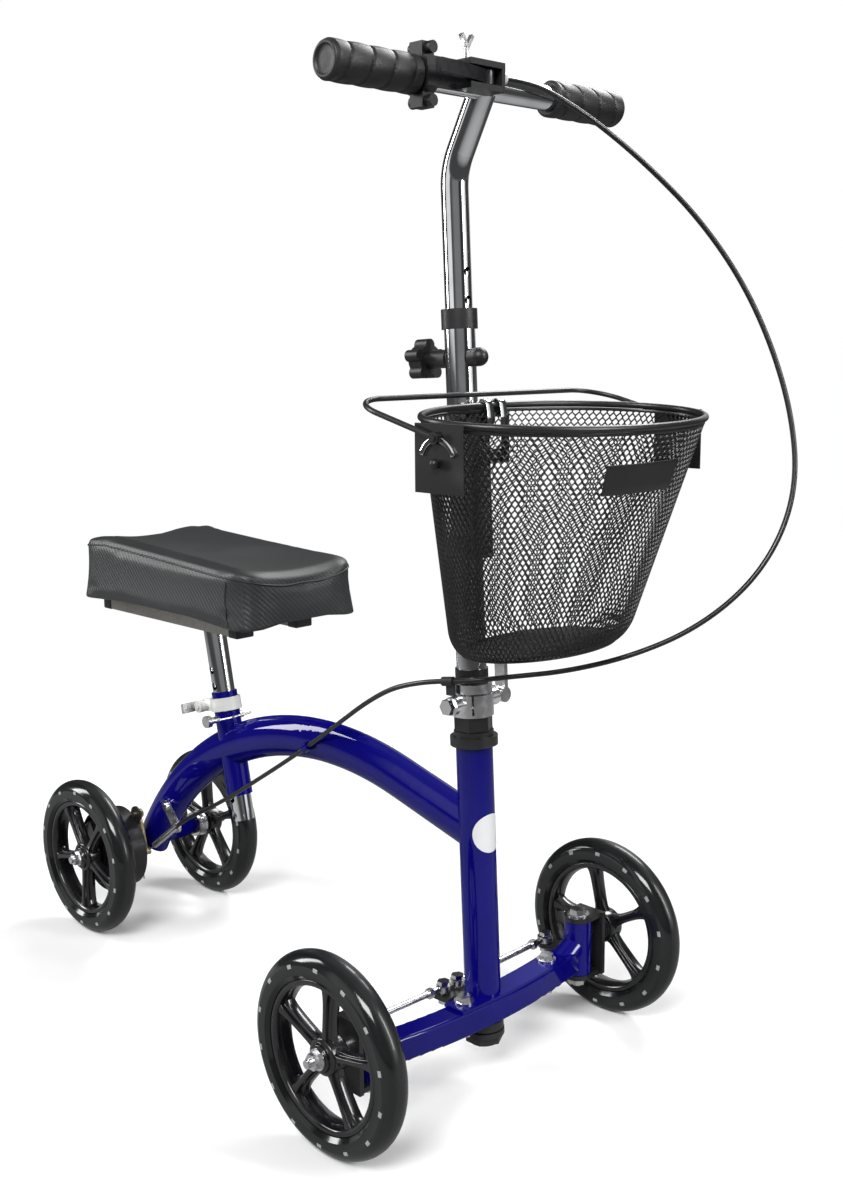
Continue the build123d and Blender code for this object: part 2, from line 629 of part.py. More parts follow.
with BuildPart() as knuckle:
    rod(STEER, RING_R, RING_LOW, RING_TOP)
    behind = STEER.shift_origin(along(STEER, 0, -24))
    block(behind, 20, 60, RING_LOW - 1, RING_TOP + 1, Mode.SUBTRACT)
    block(STEER, 19.2, 2 * CHEEK_GAP - 0.6, FOLD_PIN_H, RING_LOW)
    rod(across(STEER, FOLD_PIN_H), 9.6, -CHEEK_GAP + SOFT, CHEEK_GAP - SOFT)
    rod(across(STEER, FOLD_PIN_H), FOLD_PIN_R + RUN, -30, 30, Mode.SUBTRACT)
    rod(STEER, COLUMN_R, COLUMN_BASE, RING_TOP + 5, Mode.SUBTRACT)
save(knuckle.part, "fold_knuckle")

with BuildPart() as bands:
    rod(STEER, COLUMN_R + 1.5, RING_TOP, BAND_TOP)
    rod(STEER, COLUMN_R + 2.4, COLLAR_LOW, COLUMN_TOP + LIP)
    rod(STEER, COLUMN_R, RING_TOP - 1, COLUMN_TOP, Mode.SUBTRACT)
    rod(STEER, STEM_R + SOFT, COLUMN_TOP - 1, COLUMN_TOP + LIP + 1, Mode.SUBTRACT)
save(bands.part, "column_bands")

KNOB_BACK = -55.0
KNOB_FACE = -39.0
KNOB_LOBES = 5
with BuildPart() as bolt:
    bolt_line = facing(STEER, BOLT_H)
    rod(bolt_line, AXLE_R, KNOB_BACK + 8, COLUMN_R + 1)
    rod(bolt_line, 8.5, COLUMN_R + 0.2, COLUMN_R + 9)
    with Locations(facing(STEER, BOLT_H, COLUMN_R + 9)):
        Sphere(8.5)
    rod(STEER, COLUMN_R, BOLT_H - 20, BOLT_H + 20, Mode.SUBTRACT)
    rod(bolt_line, AXLE_R, KNOB_BACK + 8, COLUMN_R + 1)
save(bolt.part, "height_bolt")

with BuildPart() as knob:
    with BuildSketch(bolt_line.offset(KNOB_BACK)):
        Circle(14)
        with PolarLocations(14, KNOB_LOBES, start_angle=90):
            Circle(5.6)
        with PolarLocations(19.5, KNOB_LOBES, start_angle=90 + 180 / KNOB_LOBES):
            Circle(5.5, mode=Mode.SUBTRACT)
    extrude(amount=KNOB_FACE - KNOB_BACK)
    rod(bolt_line, 8.5, KNOB_FACE, -COLUMN_R - SOFT)
    rod(bolt_line, AXLE_R + RUN, KNOB_BACK + 7, 0, Mode.SUBTRACT)
save(knob.part, "height_knob")

BRACKET_LOW = 440.0
BRACKET_TOP = 578.0
BAR_HOOK_X = 27.0
with BuildPart() as bracket:
    for low in (BRACKET_LOW + 6, BRACKET_TOP - 22):
        rod(STEER, COLUMN_R + 3.2, low, low + 16)
    rod(STEER, COLUMN_R, BRACKET_LOW, BRACKET_TOP, Mode.SUBTRACT)
    strip = STEER.shift_origin(along(STEER, 0, 19))
    block(strip, 4, 26, BRACKET_LOW, BRACKET_TOP)
    for side in (-1, 1):
        cheek = STEER.shift_origin(along(STEER, 0, 23.5, side * 11))
        block(cheek, 10, 4, BRACKET_TOP - 14, BRACKET_TOP)
    rod(across(STEER, BRACKET_TOP - 5, BAR_HOOK_X), 3.6, -28, 28)
save(bracket.part, "basket_bracket")

# ---- stem, handlebar and brake lever -------------------------------------
bar_line = Plane(origin=(BAR_X, 0, BAR_Z), x_dir=(1, 0, 0), z_dir=(0, 1, 0))
with BuildPart() as stem:
    with BuildLine() as stem_path:
        FilletPolyline(
            along(STEER, STEM_BOTTOM),
            along(STEER, BEND_H),
            (BAR_X - 1.5, 0, BAR_Z - 3),
            radius=BEND_R,
        )
    with BuildSketch(STEER.offset(STEM_BOTTOM)):
        Circle(STEM_R)
        Circle(STEM_BORE_R, mode=Mode.SUBTRACT)
    sweep(path=stem_path.line)
    rod(bar_line, BAR_R, -30, 30, Mode.SUBTRACT)
    for step in range(-HOLE_STEPS, HOLE_STEPS + 1):
        hole = facing(STEER, BOLT_H + step * HOLE_PITCH)
        rod(hole, AXLE_R + SOFT, -30, 30, Mode.SUBTRACT)
save(stem.part, "stem_tube")

with BuildPart() as handlebar:
    tube(bar_line, BAR_R, BAR_R - 1.8, 4 - BAR_HALF, BAR_HALF - 4)
save(handlebar.part, "handlebar")

for name, side in (("right", -1), ("left", 1)):
    with BuildPart() as grip:
        start, end = sorted((side * GRIP_START, side * BAR_HALF))
        rod(bar_line, GRIP_R, start, end)
        fillet(grip.edges(), radius=3)
        inner, outer = sorted((side * (GRIP_START - 5), side * (BAR_HALF - 4)))
        rod(bar_line, BAR_R, inner, outer, Mode.SUBTRACT)
    save(grip.part, f"grip_{name}")

LEVER_X = 23.0
LEVER_Y = -20.0
LEVER_Z = 2.0
CAGE_H = 12.0
FINGER_H = 5.5
SCREW = (20.0, -42.0)
with BuildPart() as cage:
    rod(bar_line, 17, -84, -70)
    for drop in (-1, 1):
        lug = Plane(origin=(BAR_X + 2, -77, BAR_Z + drop * 19))
        block(lug, 15, 14, -7, 7)
        rod(Plane(origin=(BAR_X + 2, -77, BAR_Z + drop * 21), z_dir=(1, 0, 0)), 5, -12, 14)
    spine = Plane(origin=(BAR_X + 13.5, -48, BAR_Z + LEVER_Z))
    block(spine, 5, 72, -CAGE_H, CAGE_H)
    for low in (-CAGE_H, CAGE_H - 5):
        floor = Plane(origin=(BAR_X + 22, -30, BAR_Z + LEVER_Z))
        block(floor, 22, 40, low, low + 5)
    wall = Plane(origin=(BAR_X + 22, -10, BAR_Z + LEVER_Z))
    block(wall, 22, 4, -CAGE_H, CAGE_H)
    rod(bar_line, BAR_R, -90, 0, Mode.SUBTRACT)
    screw_line = Plane(origin=(BAR_X + SCREW[0], SCREW[1], BAR_Z))
    rod(screw_line, 2 + RUN, 0, 40, Mode.SUBTRACT)
    lever_line = Plane(origin=(BAR_X + LEVER_X, LEVER_Y, BAR_Z + LEVER_Z))
    rod(lever_line, 2.5, -CAGE_H, CAGE_H)
save(cage.part, "lever_bracket")

with BuildPart() as lever:
    with BuildSketch(Plane.XY.offset(BAR_Z + LEVER_Z - FINGER_H)):
        with BuildLine() as blade:
            Spline((BAR_X + LEVER_X, LEVER_Y), (BAR_X + 32, -56), (BAR_X + 37, -92))
        trace(line_width=7)
        with Locations((BAR_X + LEVER_X, LEVER_Y)):
            Circle(6)
            Circle(2.5 + RUN, mode=Mode.SUBTRACT)
    extrude(amount=2 * FINGER_H)
save(lever.part, "brake_lever")

with BuildPart() as lock:
    rod(screw_line, 2, LEVER_Z + CAGE_H - 5, 26)
    for side in (-1, 1):
        wing = Plane(origin=(BAR_X + SCREW[0], SCREW[1], BAR_Z + 24), z_dir=(0, side, 1.6))
        block(wing, 3, 4, 0, 12)
save(lock.part, "lock_screw")

with BuildPart() as ferrule:
    ferrule_line = Plane(origin=(BAR_X + 22, 0, BAR_Z + 4), x_dir=(1, 0, 0), z_dir=(0, 1, 0))
    rod(ferrule_line, 5.5, -8, 2)
save(ferrule.part, "cable_barrel")

# ---- basket --------------------------------------------------------------
droop = radians(RIM_DROOP)
rim_plane = Plane(
    origin=(RIM_X, 0, RIM_Z),
    x_dir=(cos(droop), 0, -sin(droop)),
    z_dir=(sin(droop), 0, cos(droop)),
)
wall_top = rim_plane.offset(-RIM_WIRE_R)
with BuildPart() as shell:
    with BuildSketch(Plane(origin=(FLOOR_X, 0, FLOOR_Z))):
        Ellipse(FLOOR_A, FLOOR_B)
    with BuildSketch(wall_top):
        Ellipse(RIM_A, RIM_B)
    loft()
    with BuildSketch(Plane(origin=(FLOOR_X, 0, FLOOR_Z + BASKET_WALL))):
        Ellipse(FLOOR_A - BASKET_WALL, FLOOR_B - BASKET_WALL)
    with BuildSketch(wall_top.offset(1)):
        Ellipse(RIM_A - BASKET_WALL, RIM_B - BASKET_WALL)
    loft(mode=Mode.SUBTRACT)
save(shell.part, "basket_shell")

with BuildPart() as rim_wire:
    with BuildLine(rim_plane) as hoop:
        EllipticalCenterArc((0, 0), RIM_A, RIM_B, start_angle=0, arc_size=360)
    with BuildSketch(Plane(origin=hoop.line @ 0, z_dir=hoop.line % 0)):
        Circle(RIM_WIRE_R)
    sweep(path=hoop.line)
save(rim_wire.part, "basket_rim")

BAIL_PIVOT_Z = 642.0
PLATE_Y_OUT = RIM_B + RIM_WIRE_R
hook_line = across(STEER, BRACKET_TOP - 5, BAR_HOOK_X)
with BuildPart() as fittings:
    for side in (-1, 1):
        hook = Plane(origin=hook_line.origin + Vector(0, side * 20, 0), x_dir=(1, 0, 0), z_dir=(0, 1, 0))
        rod(hook, 7, -4, 4)
        below = Plane(origin=hook_line.origin + Vector(-1.4, side * 20, 0))
        block(below, 14, 20, -40, 0, Mode.SUBTRACT)
        leg = Plane(origin=hook_line.origin + Vector(7.9, side * 20, 0))
        block(leg, 3, 8, -45, 0.5)
        block(below.shift_origin(hook_line.origin + Vector(0, side * 20, 0)), 2, 20, -8, 0, Mode.SUBTRACT)
        rod(hook, 3.9, -12, 12, Mode.SUBTRACT)
        side_plate = Plane(origin=(RIM_X, side * (PLATE_Y_OUT + 1 + SOFT), 0))
        block(side_plate, 52, 2, BAIL_PIVOT_Z - 44, BAIL_PIVOT_Z + 11)
        pivot = Plane(origin=(RIM_X, 0, BAIL_PIVOT_Z), x_dir=(1, 0, 0), z_dir=(0, side, 0))
        rod(pivot, 2.5, PLATE_Y_OUT + 1, PLATE_Y_OUT + 9)
    cross_leg = Plane(origin=hook_line.origin + Vector(7.0, 0, 0))
    block(cross_leg, 3, 48, -45, -32)
save(fittings.part, "basket_fittings")

BAIL_X = 238.0
BAIL_Z = 669.0
BAIL_Y = PLATE_Y_OUT + 5.5
with BuildPart() as bail:
    with BuildLine() as bail_path:
        FilletPolyline(
            (RIM_X - 3, -BAIL_Y, BAIL_PIVOT_Z + 1),
            (BAIL_X, -BAIL_Y, BAIL_Z),
            (BAIL_X, BAIL_Y, BAIL_Z),
            (RIM_X - 3, BAIL_Y, BAIL_PIVOT_Z + 1),
            radius=38,
        )
    with BuildSketch(Plane(origin=bail_path.line @ 0, z_dir=bail_path.line % 0)):
        Circle(BAIL_WIRE_R)
    sweep(path=bail_path.line)
    for side in (-1, 1):
        pivot = Plane(origin=(RIM_X, 0, BAIL_PIVOT_Z), x_dir=(1, 0, 0), z_dir=(0, side, 0))
        rod(pivot, 5, BAIL_Y - 2.5, BAIL_Y + 2.5)
        rod(pivot, 2.5 + RUN, BAIL_Y - 4, BAIL_Y + 4, Mode.SUBTRACT)
save(bail.part, "basket_bail")

# ---- front knuckles and tie rods -----------------------------------------
GAP = 0.5
for name, side in (("right", -1), ("left", 1)):
    kingpin = Plane(origin=(KINGPIN_X, side * KINGPIN_Y, 0))
    web_y = side * (KINGPIN_Y + WEB_Y + KNUCKLE_T / 2)
    out = Plane(origin=(KINGPIN_X, side * KINGPIN_Y, WHEEL_R), x_dir=(1, 0, 0), z_dir=(0, side, 0))
    with BuildPart() as fork:
        low = SLEEVE_BOTTOM - GAP - KNUCKLE_T
        high = SLEEVE_TOP + GAP
        for level in (low, high):
            rod(kingpin, 15, level, level + KNUCKLE_T)
            shelf = Plane(origin=(KINGPIN_X, side * (KINGPIN_Y + WEB_Y / 2 + 2), 0))
            block(shelf, 30, WEB_Y + 4, level, level + KNUCKLE_T)
        web = Plane(origin=(KINGPIN_X, web_y, 0))
        block(web, 34, KNUCKLE_T, low, high + KNUCKLE_T)
        arm_turn = degrees(atan2(side * WEB_Y, ARM_BACK - 16))
        with BuildSketch(Plane.XY.offset(PITMAN_Z)):
            with Locations(Location((KINGPIN_X - (ARM_BACK + 16) / 2, side * (KINGPIN_Y + WEB_Y / 2), 0), (0, 0, arm_turn))):
                SlotCenterToCenter(hypot(ARM_BACK - 16, WEB_Y), 15)
        extrude(amount=5)
        rod(kingpin, PIN_R, low - 1, high + 10, Mode.SUBTRACT)
        tie_pin = Plane(origin=(KINGPIN_X - ARM_BACK, side * KINGPIN_Y, 0))
        rod(tie_pin, ROD_PIN_R, PITMAN_Z - 1, PITMAN_Z + 6, Mode.SUBTRACT)
        rod(out, AXLE_R, WEB_Y - 1, WEB_Y + 10, Mode.SUBTRACT)
    save(fork.part, f"knuckle_{name}")

    hub_in = FRONT_HALF_TRACK - HUB_W / 2 - KINGPIN_Y
    hub_out = hub_in + HUB_W
    with BuildPart() as hardware:
        rod(kingpin, PIN_R, low - 10, high + KNUCKLE_T + 1)
        rod(kingpin, 12, high + KNUCKLE_T, high + KNUCKLE_T + 1.5)
        with BuildSketch(kingpin.offset(high + KNUCKLE_T + 1.5)):
            RegularPolygon(10, 6)
        extrude(amount=5, taper=15)
        with BuildSketch(kingpin.offset(low - 8)):
            RegularPolygon(9, 6)
        extrude(amount=8)
        rod(out, AXLE_R, WEB_Y, hub_out + 14)
        rod(out, 7, WEB_Y + KNUCKLE_T, hub_in - SOFT)
        rod(out, 10, hub_out + SOFT, hub_out + 2)
        with BuildSketch(out.offset(hub_out + 2)):
            RegularPolygon(8, 6)
        extrude(amount=6.5)
        rod(tie_pin, ROD_PIN_R, PITMAN_Z - 5, ROD_Z + 4.5)
        with BuildSketch(tie_pin.offset(ROD_Z + 4)):
            RegularPolygon(6.5, 6)
        extrude(amount=4)
        with BuildSketch(tie_pin.offset(PITMAN_Z - 4.5)):
            RegularPolygon(6, 6)
        extrude(amount=4.5)
    save(hardware.part, f"front_hardware_{name}")

    inner_spot = along(STEER, 0, -ARM_BACK, side * INNER_PIN_Y)
    inner_end = Vector(inner_spot.X, inner_spot.Y, ROD_Z)
    outer_end = Vector(KINGPIN_X - ARM_BACK, side * KINGPIN_Y, ROD_Z)
    shank = Plane(origin=inner_end, z_dir=outer_end - inner_end)
    span = (outer_end - inner_end).length
    with BuildPart() as tie_rod:
        rod(shank, ROD_R - 0.8, EYE_R - 2, span - EYE_R + 1)
        with BuildSketch(shank.offset(16)):
            RegularPolygon(5.5, 6)
        extrude(amount=6)
        with BuildSketch(shank.offset(span - 24)):
            RegularPolygon(5.5, 6)
        extrude(amount=6)
        for end, radius, bore in ((inner_end, EYE_R, ROD_PIN_R + SOFT), (outer_end, EYE_R + 1, ROD_PIN_R + OPEN_PIN_CLEARANCE)):
            eye = Plane(origin=end)
            rod(eye, radius, -EYE_T / 2, EYE_T / 2)
            rod(eye, bore, -EYE_T, EYE_T, Mode.SUBTRACT)
    save(tie_rod.part, f"tie_rod_{name}")

# ---- brake cable ---------------------------------------------------------
WIRE_R = 0.8


def cable(points, radius):
    """Straight runs joined by the largest tangent arcs that their runs allow."""
    spots = [Vector(*p) for p in points]
    runs = [b - a for a, b in zip(spots, spots[1:])]
    radii = []
    for before, after in zip(runs, runs[1:]):
        turn = before.get_angle(after)
        radii.append(0.45 * min(before.length, after.length) / tan(radians(turn / 2)))
    with BuildPart() as hose:
        with BuildLine() as route:
            FilletPolyline(*spots, radius=radii)
        with BuildSketch(Plane(origin=route.line @ 0, z_dir=route.line % 0)):
            Circle(radius)
        sweep(path=route.line)
    return hose.part


UPPER_ROUTE = [
    (262, 2.3, 938),
    (261, 36, 939),
    (262, 74, 932),
    (274, 122, 910),
    (297, 167, 874),
    (331, 200, 827),
    (366, 221, 770),
    (395, 231, 708),
    (417, 233, 645),
    (429, 226, 585),
    (426, 207, 533),
    (412, 174, 488),
    (386, 128, 452),
    (350, 82, 429),
    (308, 40, 415),
    (268, 6, 409),
]
front_of_clip = CLIP - CLIP_WAY * 6
back_of_clip = CLIP + CLIP_WAY * 6
upper_points = UPPER_ROUTE + [tuple(front_of_clip - CLIP_WAY * 20), tuple(front_of_clip)]
save(cable(upper_points, CABLE_R), "brake_cable_upper")

REAR_ROUTE = [
    (130, -32, 377),
    tuple(EYELET - EYELET_WAY * 34),
    tuple(EYELET + EYELET_WAY * 34),
    (-125, -22.2, 211),
    (-190, -21.5, 174),
    tuple(STOP + (STOP - nut_spot).normalized() * 24),
]
rear_points = [tuple(back_of_clip), tuple(back_of_clip + CLIP_WAY * 28)] + REAR_ROUTE + [tuple(STOP)]
pull = Plane(origin=STOP, z_dir=nut_spot - STOP)
with BuildPart() as rear_cable:
    add(cable(rear_points, CABLE_R))
    rod(pull, WIRE_R, -1, (nut_spot - STOP).length + 10)
save(rear_cable.part, "brake_cable_rear")
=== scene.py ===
from math import cos, exp, hypot, pi, radians, sin, sqrt, tau

import bmesh
import bpy
from mathutils import Matrix, Vector


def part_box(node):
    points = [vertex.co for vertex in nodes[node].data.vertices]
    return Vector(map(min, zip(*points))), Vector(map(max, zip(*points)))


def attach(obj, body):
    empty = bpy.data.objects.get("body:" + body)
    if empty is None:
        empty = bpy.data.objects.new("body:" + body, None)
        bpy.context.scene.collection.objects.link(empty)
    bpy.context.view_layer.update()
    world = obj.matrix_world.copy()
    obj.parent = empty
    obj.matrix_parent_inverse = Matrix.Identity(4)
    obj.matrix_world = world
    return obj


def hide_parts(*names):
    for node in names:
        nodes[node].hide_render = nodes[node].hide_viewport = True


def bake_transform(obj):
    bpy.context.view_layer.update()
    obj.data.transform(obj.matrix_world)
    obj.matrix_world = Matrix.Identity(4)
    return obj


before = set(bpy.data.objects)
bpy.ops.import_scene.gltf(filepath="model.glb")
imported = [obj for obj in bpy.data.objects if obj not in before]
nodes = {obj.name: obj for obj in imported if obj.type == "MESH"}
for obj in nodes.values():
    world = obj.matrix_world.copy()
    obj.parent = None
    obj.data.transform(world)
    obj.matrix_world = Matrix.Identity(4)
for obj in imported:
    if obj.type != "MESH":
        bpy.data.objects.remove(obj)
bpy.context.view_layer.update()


# ---- camera and lamps -----------------------------------------------------
def set_camera():
    azimuth, elevation, roll = radians(45.83), radians(10.55), radians(-0.46)
    look = Vector((-sin(azimuth) * cos(elevation), cos(azimuth) * cos(elevation), -sin(elevation)))
    bpy.ops.object.camera_add(location=(1.1029, -0.9186, 0.714))
    camera = bpy.context.object
    turn = look.to_track_quat("-Z", "Y").to_matrix() @ Matrix.Rotation(roll, 3, "Z")
    camera.rotation_euler = turn.to_euler()
    camera.data.sensor_width = 36
    camera.data.lens = 41.2
    bpy.context.scene.camera = camera


def softbox(name, place, aim, size, power):
    bpy.ops.object.light_add(type="AREA", location=place)
    lamp = bpy.context.object
    lamp.name = name
    lamp.rotation_euler = (Vector(aim) - Vector(place)).to_track_quat("-Z", "Y").to_euler()
    lamp.data.shape = "RECTANGLE"
    lamp.data.size, lamp.data.size_y = size
    lamp.data.energy = power


set_camera()


# ---- shader arithmetic ----------------------------------------------------
class Value:
    """A number that varies over a surface, with the usual arithmetic."""

    def __init__(self, finish, socket):
        self.finish = finish
        self.socket = socket

    def maths(self, operation, *terms):
        return self.finish.value("ShaderNodeMath", {"operation": operation}, *terms)

    def __add__(self, other):
        return self.maths("ADD", self, other)

    def __radd__(self, other):
        return self.maths("ADD", other, self)

    def __sub__(self, other):
        return self.maths("SUBTRACT", self, other)

    def __rsub__(self, other):
        return self.maths("SUBTRACT", other, self)

    def __mul__(self, other):
        return self.maths("MULTIPLY", self, other)

    def __truediv__(self, other):
        return self.maths("DIVIDE", self, other)

    def fract(self):
        return self.maths("FRACT", self)

    def floor(self):
        return self.maths("FLOOR", self)

    def size(self):
        return self.maths("ABSOLUTE", self)

    def below(self, limit):
        return self.maths("LESS_THAN", self, limit)

    def above(self, limit):
        return self.maths("GREATER_THAN", self, limit)

    def power(self, exponent):
        return self.maths("POWER", self, exponent)

    def between(self, low, high):
        """0 below low, 1 above high, smooth between them."""
        settings = {"interpolation_type": "SMOOTHSTEP"}
        return self.finish.value("ShaderNodeMapRange", settings, self, low, high)


class Finish:
    """One material: its node tree, its principled shader and its places."""

    def __init__(self, name, colour, roughness, **constants):
        self.material = bpy.data.materials.new(name)
        self.material.use_nodes = True
        self.tree = self.material.node_tree
        self.surface = self.tree.nodes["Principled BSDF"]
        self.set("Base Color", (*colour, 1))
        self.set("Roughness", roughness)
        for label, amount in constants.items():
            self.set(label.replace("_", " "), amount)
        self.place = self.node("ShaderNodeTexCoord").outputs["Object"]

    def feed(self, socket, term):
        if isinstance(term, Value):
            self.tree.links.new(term.socket, socket)
        elif isinstance(term, bpy.types.NodeSocket):
            self.tree.links.new(term, socket)
        else:
            socket.default_value = term

    def set(self, label, term):
        self.feed(self.surface.inputs[label], term)

    def node(self, kind, settings=None, *terms):
        made = self.tree.nodes.new(kind)
        for label, choice in (settings or {}).items():
            setattr(made, label, choice)
        for socket, term in zip(made.inputs, terms):
            if term is not None:
                self.feed(socket, term)
        return made

    def value(self, kind, settings=None, *terms):
        return Value(self, self.node(kind, settings, *terms).outputs[0])

    def axes(self, source=None):
        split = self.node("ShaderNodeSeparateXYZ", {}, source or self.place)
        return [Value(self, socket) for socket in split.outputs]

    def noise(self, scale, detail=3):
        cloud = self.node("ShaderNodeTexNoise")
        self.feed(cloud.inputs["Vector"], self.place)
        cloud.inputs["Scale"].default_value = scale
        cloud.inputs["Detail"].default_value = detail
        return Value(self, cloud.outputs[0])

    def cells(self, scale):
        pebble = self.node("ShaderNodeTexVoronoi")
        self.feed(pebble.inputs["Vector"], self.place)
        pebble.inputs["Scale"].default_value = scale
        return Value(self, pebble.outputs[0])

    def blend(self, factor, first, second):
        mix = self.node("ShaderNodeMix", {"data_type": "RGBA"})
        self.feed(mix.inputs[0], factor)
        self.feed(mix.inputs[6], first if not isinstance(first, tuple) else (*first, 1))
        self.feed(mix.inputs[7], second if not isinstance(second, tuple) else (*second, 1))
        return mix.outputs[2]

    def raise_surface(self, height, depth, strength=1.0):
        bump = self.node("ShaderNodeBump")
        bump.inputs["Strength"].default_value = strength
        bump.inputs["Distance"].default_value = depth
        self.feed(bump.inputs["Height"], height)
        self.set("Normal", bump.outputs["Normal"])


# ---- finishes -------------------------------------------------------------
MARK_REACH = 0.0835       # from the axle to the tyre's ring of pale marks
MARKS_ROUND = 14
TREAD_START, TREAD_END = 0.0925, 0.0945
TWILL_PITCH = 165         # diagonal ribs per metre of the pad's side
TWILL_CROSS = 330
PLY_PITCH = 650           # layers per metre of the pad's board


def car_paint():
    paint = Finish("deep_blue_paint", (0.002, 0.0015, 0.14), 0.28, Coat_Weight=0.7, Coat_Roughness=0.02)
    paint.set("Specular IOR Level", 0.0)
    flake = paint.noise(900, 2).between(0.55, 0.75)
    depth = paint.noise(14, 2).between(0.3, 0.7)
    base = paint.blend(depth, (0.0020, 0.0014, 0.125), (0.0030, 0.0020, 0.150))
    paint.set("Base Color", paint.blend(flake * 0.25, base, (0.008, 0.006, 0.26)))
    paint.set("Roughness", 0.24 + paint.noise(60, 2) * 0.1)
    paint.raise_surface(paint.noise(240, 2), 0.00003, 0.5)
    return paint.material


def bright_chrome():
    chrome = Finish("bright_chrome", (0.80, 0.81, 0.83), 0.06, Metallic=1.0)
    smear = chrome.noise(35, 4).between(0.35, 0.75)
    chrome.set("Roughness", 0.035 + smear * 0.07)
    chrome.set("Base Color", chrome.blend(smear, (0.84, 0.85, 0.87), (0.72, 0.73, 0.75)))
    return chrome.material


def plated_steel(name, colour, shade, roughness):
    steel = Finish(name, colour, roughness, Metallic=1.0)
    mottle = steel.noise(130, 4).between(0.3, 0.7)
    steel.set("Base Color", steel.blend(mottle, colour, shade))
    steel.set("Roughness", roughness + mottle * 0.14)
    steel.raise_surface(steel.noise(700, 3), 0.00004, 0.4)
    return steel.material


def black_coat(name, colour, roughness, grain):
    coat = Finish(name, colour, roughness)
    pebble = coat.noise(grain, 2)
    dust = coat.noise(25, 4).between(0.5, 0.8)
    coat.set("Base Color", coat.blend(dust * 0.4, colour, tuple(c * 2.2 + 0.006 for c in colour)))
    coat.set("Roughness", roughness + dust * 0.12)
    coat.raise_surface(pebble, 0.00008, 0.5)
    return coat.material


def wheel_polar(finish, centre):
    """Distance from a wheel's axle and turns round it."""
    x, _, z = finish.axes()
    across, up = x - centre[0], z - centre[2]
    reach = (across * across + up * up).power(0.5)
    turns = up.maths("ARCTAN2", up, across) / tau
    return reach, turns


def smoky_tyre(name, centre):
    tyre = Finish(name, (0.03, 0.032, 0.033), 0.16, Coat_Weight=0.3, Coat_Roughness=0.08)
    tyre.set("Specular IOR Level", 0.3)
    reach, turns = wheel_polar(tyre, centre)
    spot = ((turns * MARKS_ROUND).fract() - 0.5).size().below(0.075)
    ring = (reach - MARK_REACH).size().below(0.0018)
    marks = spot * ring
    scuff = tyre.noise(60, 5).between(0.5, 0.8)
    tread = reach.between(TREAD_START, TREAD_END)
    depth = (reach - 0.083).size().between(0.0, 0.012)
    glass = tyre.blend(depth, (0.015, 0.017, 0.017), (0.006, 0.0065, 0.007))
    worn = tyre.blend(tread * 0.7, glass, (0.014, 0.015, 0.015))
    tyre.set("Base Color", tyre.blend(marks * 0.6, worn, (0.62, 0.63, 0.61)))
    tyre.set("Roughness", 0.13 + scuff * 0.10 + tread * 0.22)
    tyre.raise_surface(tyre.noise(90, 3) * 0.5 - marks * 0.6, 0.0002, 0.35)
    return tyre.material


def gloss_rim():
    rim = Finish("gloss_black_rim", (0.006, 0.006, 0.007), 0.22, Coat_Weight=0.3, Coat_Roughness=0.05)
    haze = rim.noise(40, 4).between(0.4, 0.8)
    rim.set("Roughness", 0.17 + haze * 0.16)
    rim.set("Base Color", rim.blend(haze, (0.005, 0.005, 0.006), (0.014, 0.014, 0.015)))
    rim.raise_surface(rim.noise(420, 2), 0.00004, 0.5)
    return rim.material


def wrapped_grip():
    grip = Finish("wrapped_grip_rubber", (0.012, 0.012, 0.013), 0.5)
    pores = grip.cells(1300)
    worn = grip.noise(45, 5).between(0.45, 0.8)
    grip.raise_surface(pores * 0.5 + grip.noise(420, 3) * 0.6, 0.00022, 0.7)
    grip.set("Base Color", grip.blend(worn * 0.6, (0.009, 0.009, 0.010), (0.022, 0.022, 0.023)))
    grip.set("Roughness", 0.40 + worn * 0.18 + pores * 0.1)
    return grip.material


def pad_vinyl():
    vinyl = Finish("pad_vinyl", (0.013, 0.014, 0.015), 0.42, Coat_Weight=0.08, Coat_Roughness=0.35)
    place = vinyl.node("ShaderNodeUVMap", {"uv_map": "skin"}).outputs[0]
    u, v, _ = vinyl.axes(place)
    side = Value(vinyl, vinyl.node("ShaderNodeAttribute", {"attribute_name": "skirt"}).outputs["Fac"])
    lengthwise = u * TWILL_PITCH + v * TWILL_PITCH
    rib = 1 - ((lengthwise.fract() - 0.5).size() * 2).power(1.6)
    cross = (u * TWILL_CROSS - v * TWILL_CROSS + lengthwise.floor() * 0.5).fract()
    segment = (cross - 0.5).size() * 2
    weave = rib * (0.6 + segment * 0.4)
    grain = vinyl.cells(1100) * 0.6 + vinyl.noise(260, 4) * 0.7
    height = side * weave + (1 - side) * grain * 0.45
    vinyl.raise_surface(height, 0.0005, 0.6)
    tone = vinyl.blend(side * weave, (0.015, 0.016, 0.017), (0.034, 0.036, 0.038))
    worn = vinyl.noise(9, 5).between(0.45, 0.8)
    vinyl.set("Base Color", vinyl.blend(worn * 0.35, tone, (0.030, 0.032, 0.035)))
    vinyl.set("Roughness", 0.46 + worn * 0.10 + grain * 0.06 - side * weave * 0.12)
    return vinyl.material


def cable_skin():
    skin = Finish("cable_jacket", (0.006, 0.006, 0.006), 0.30, Coat_Weight=0.2, Coat_Roughness=0.2)
    streak = skin.noise(180, 3)
    skin.set("Roughness", 0.24 + streak * 0.16)
    skin.set("Base Color", skin.blend(streak, (0.004, 0.004, 0.004), (0.012, 0.012, 0.012)))
    return skin.material


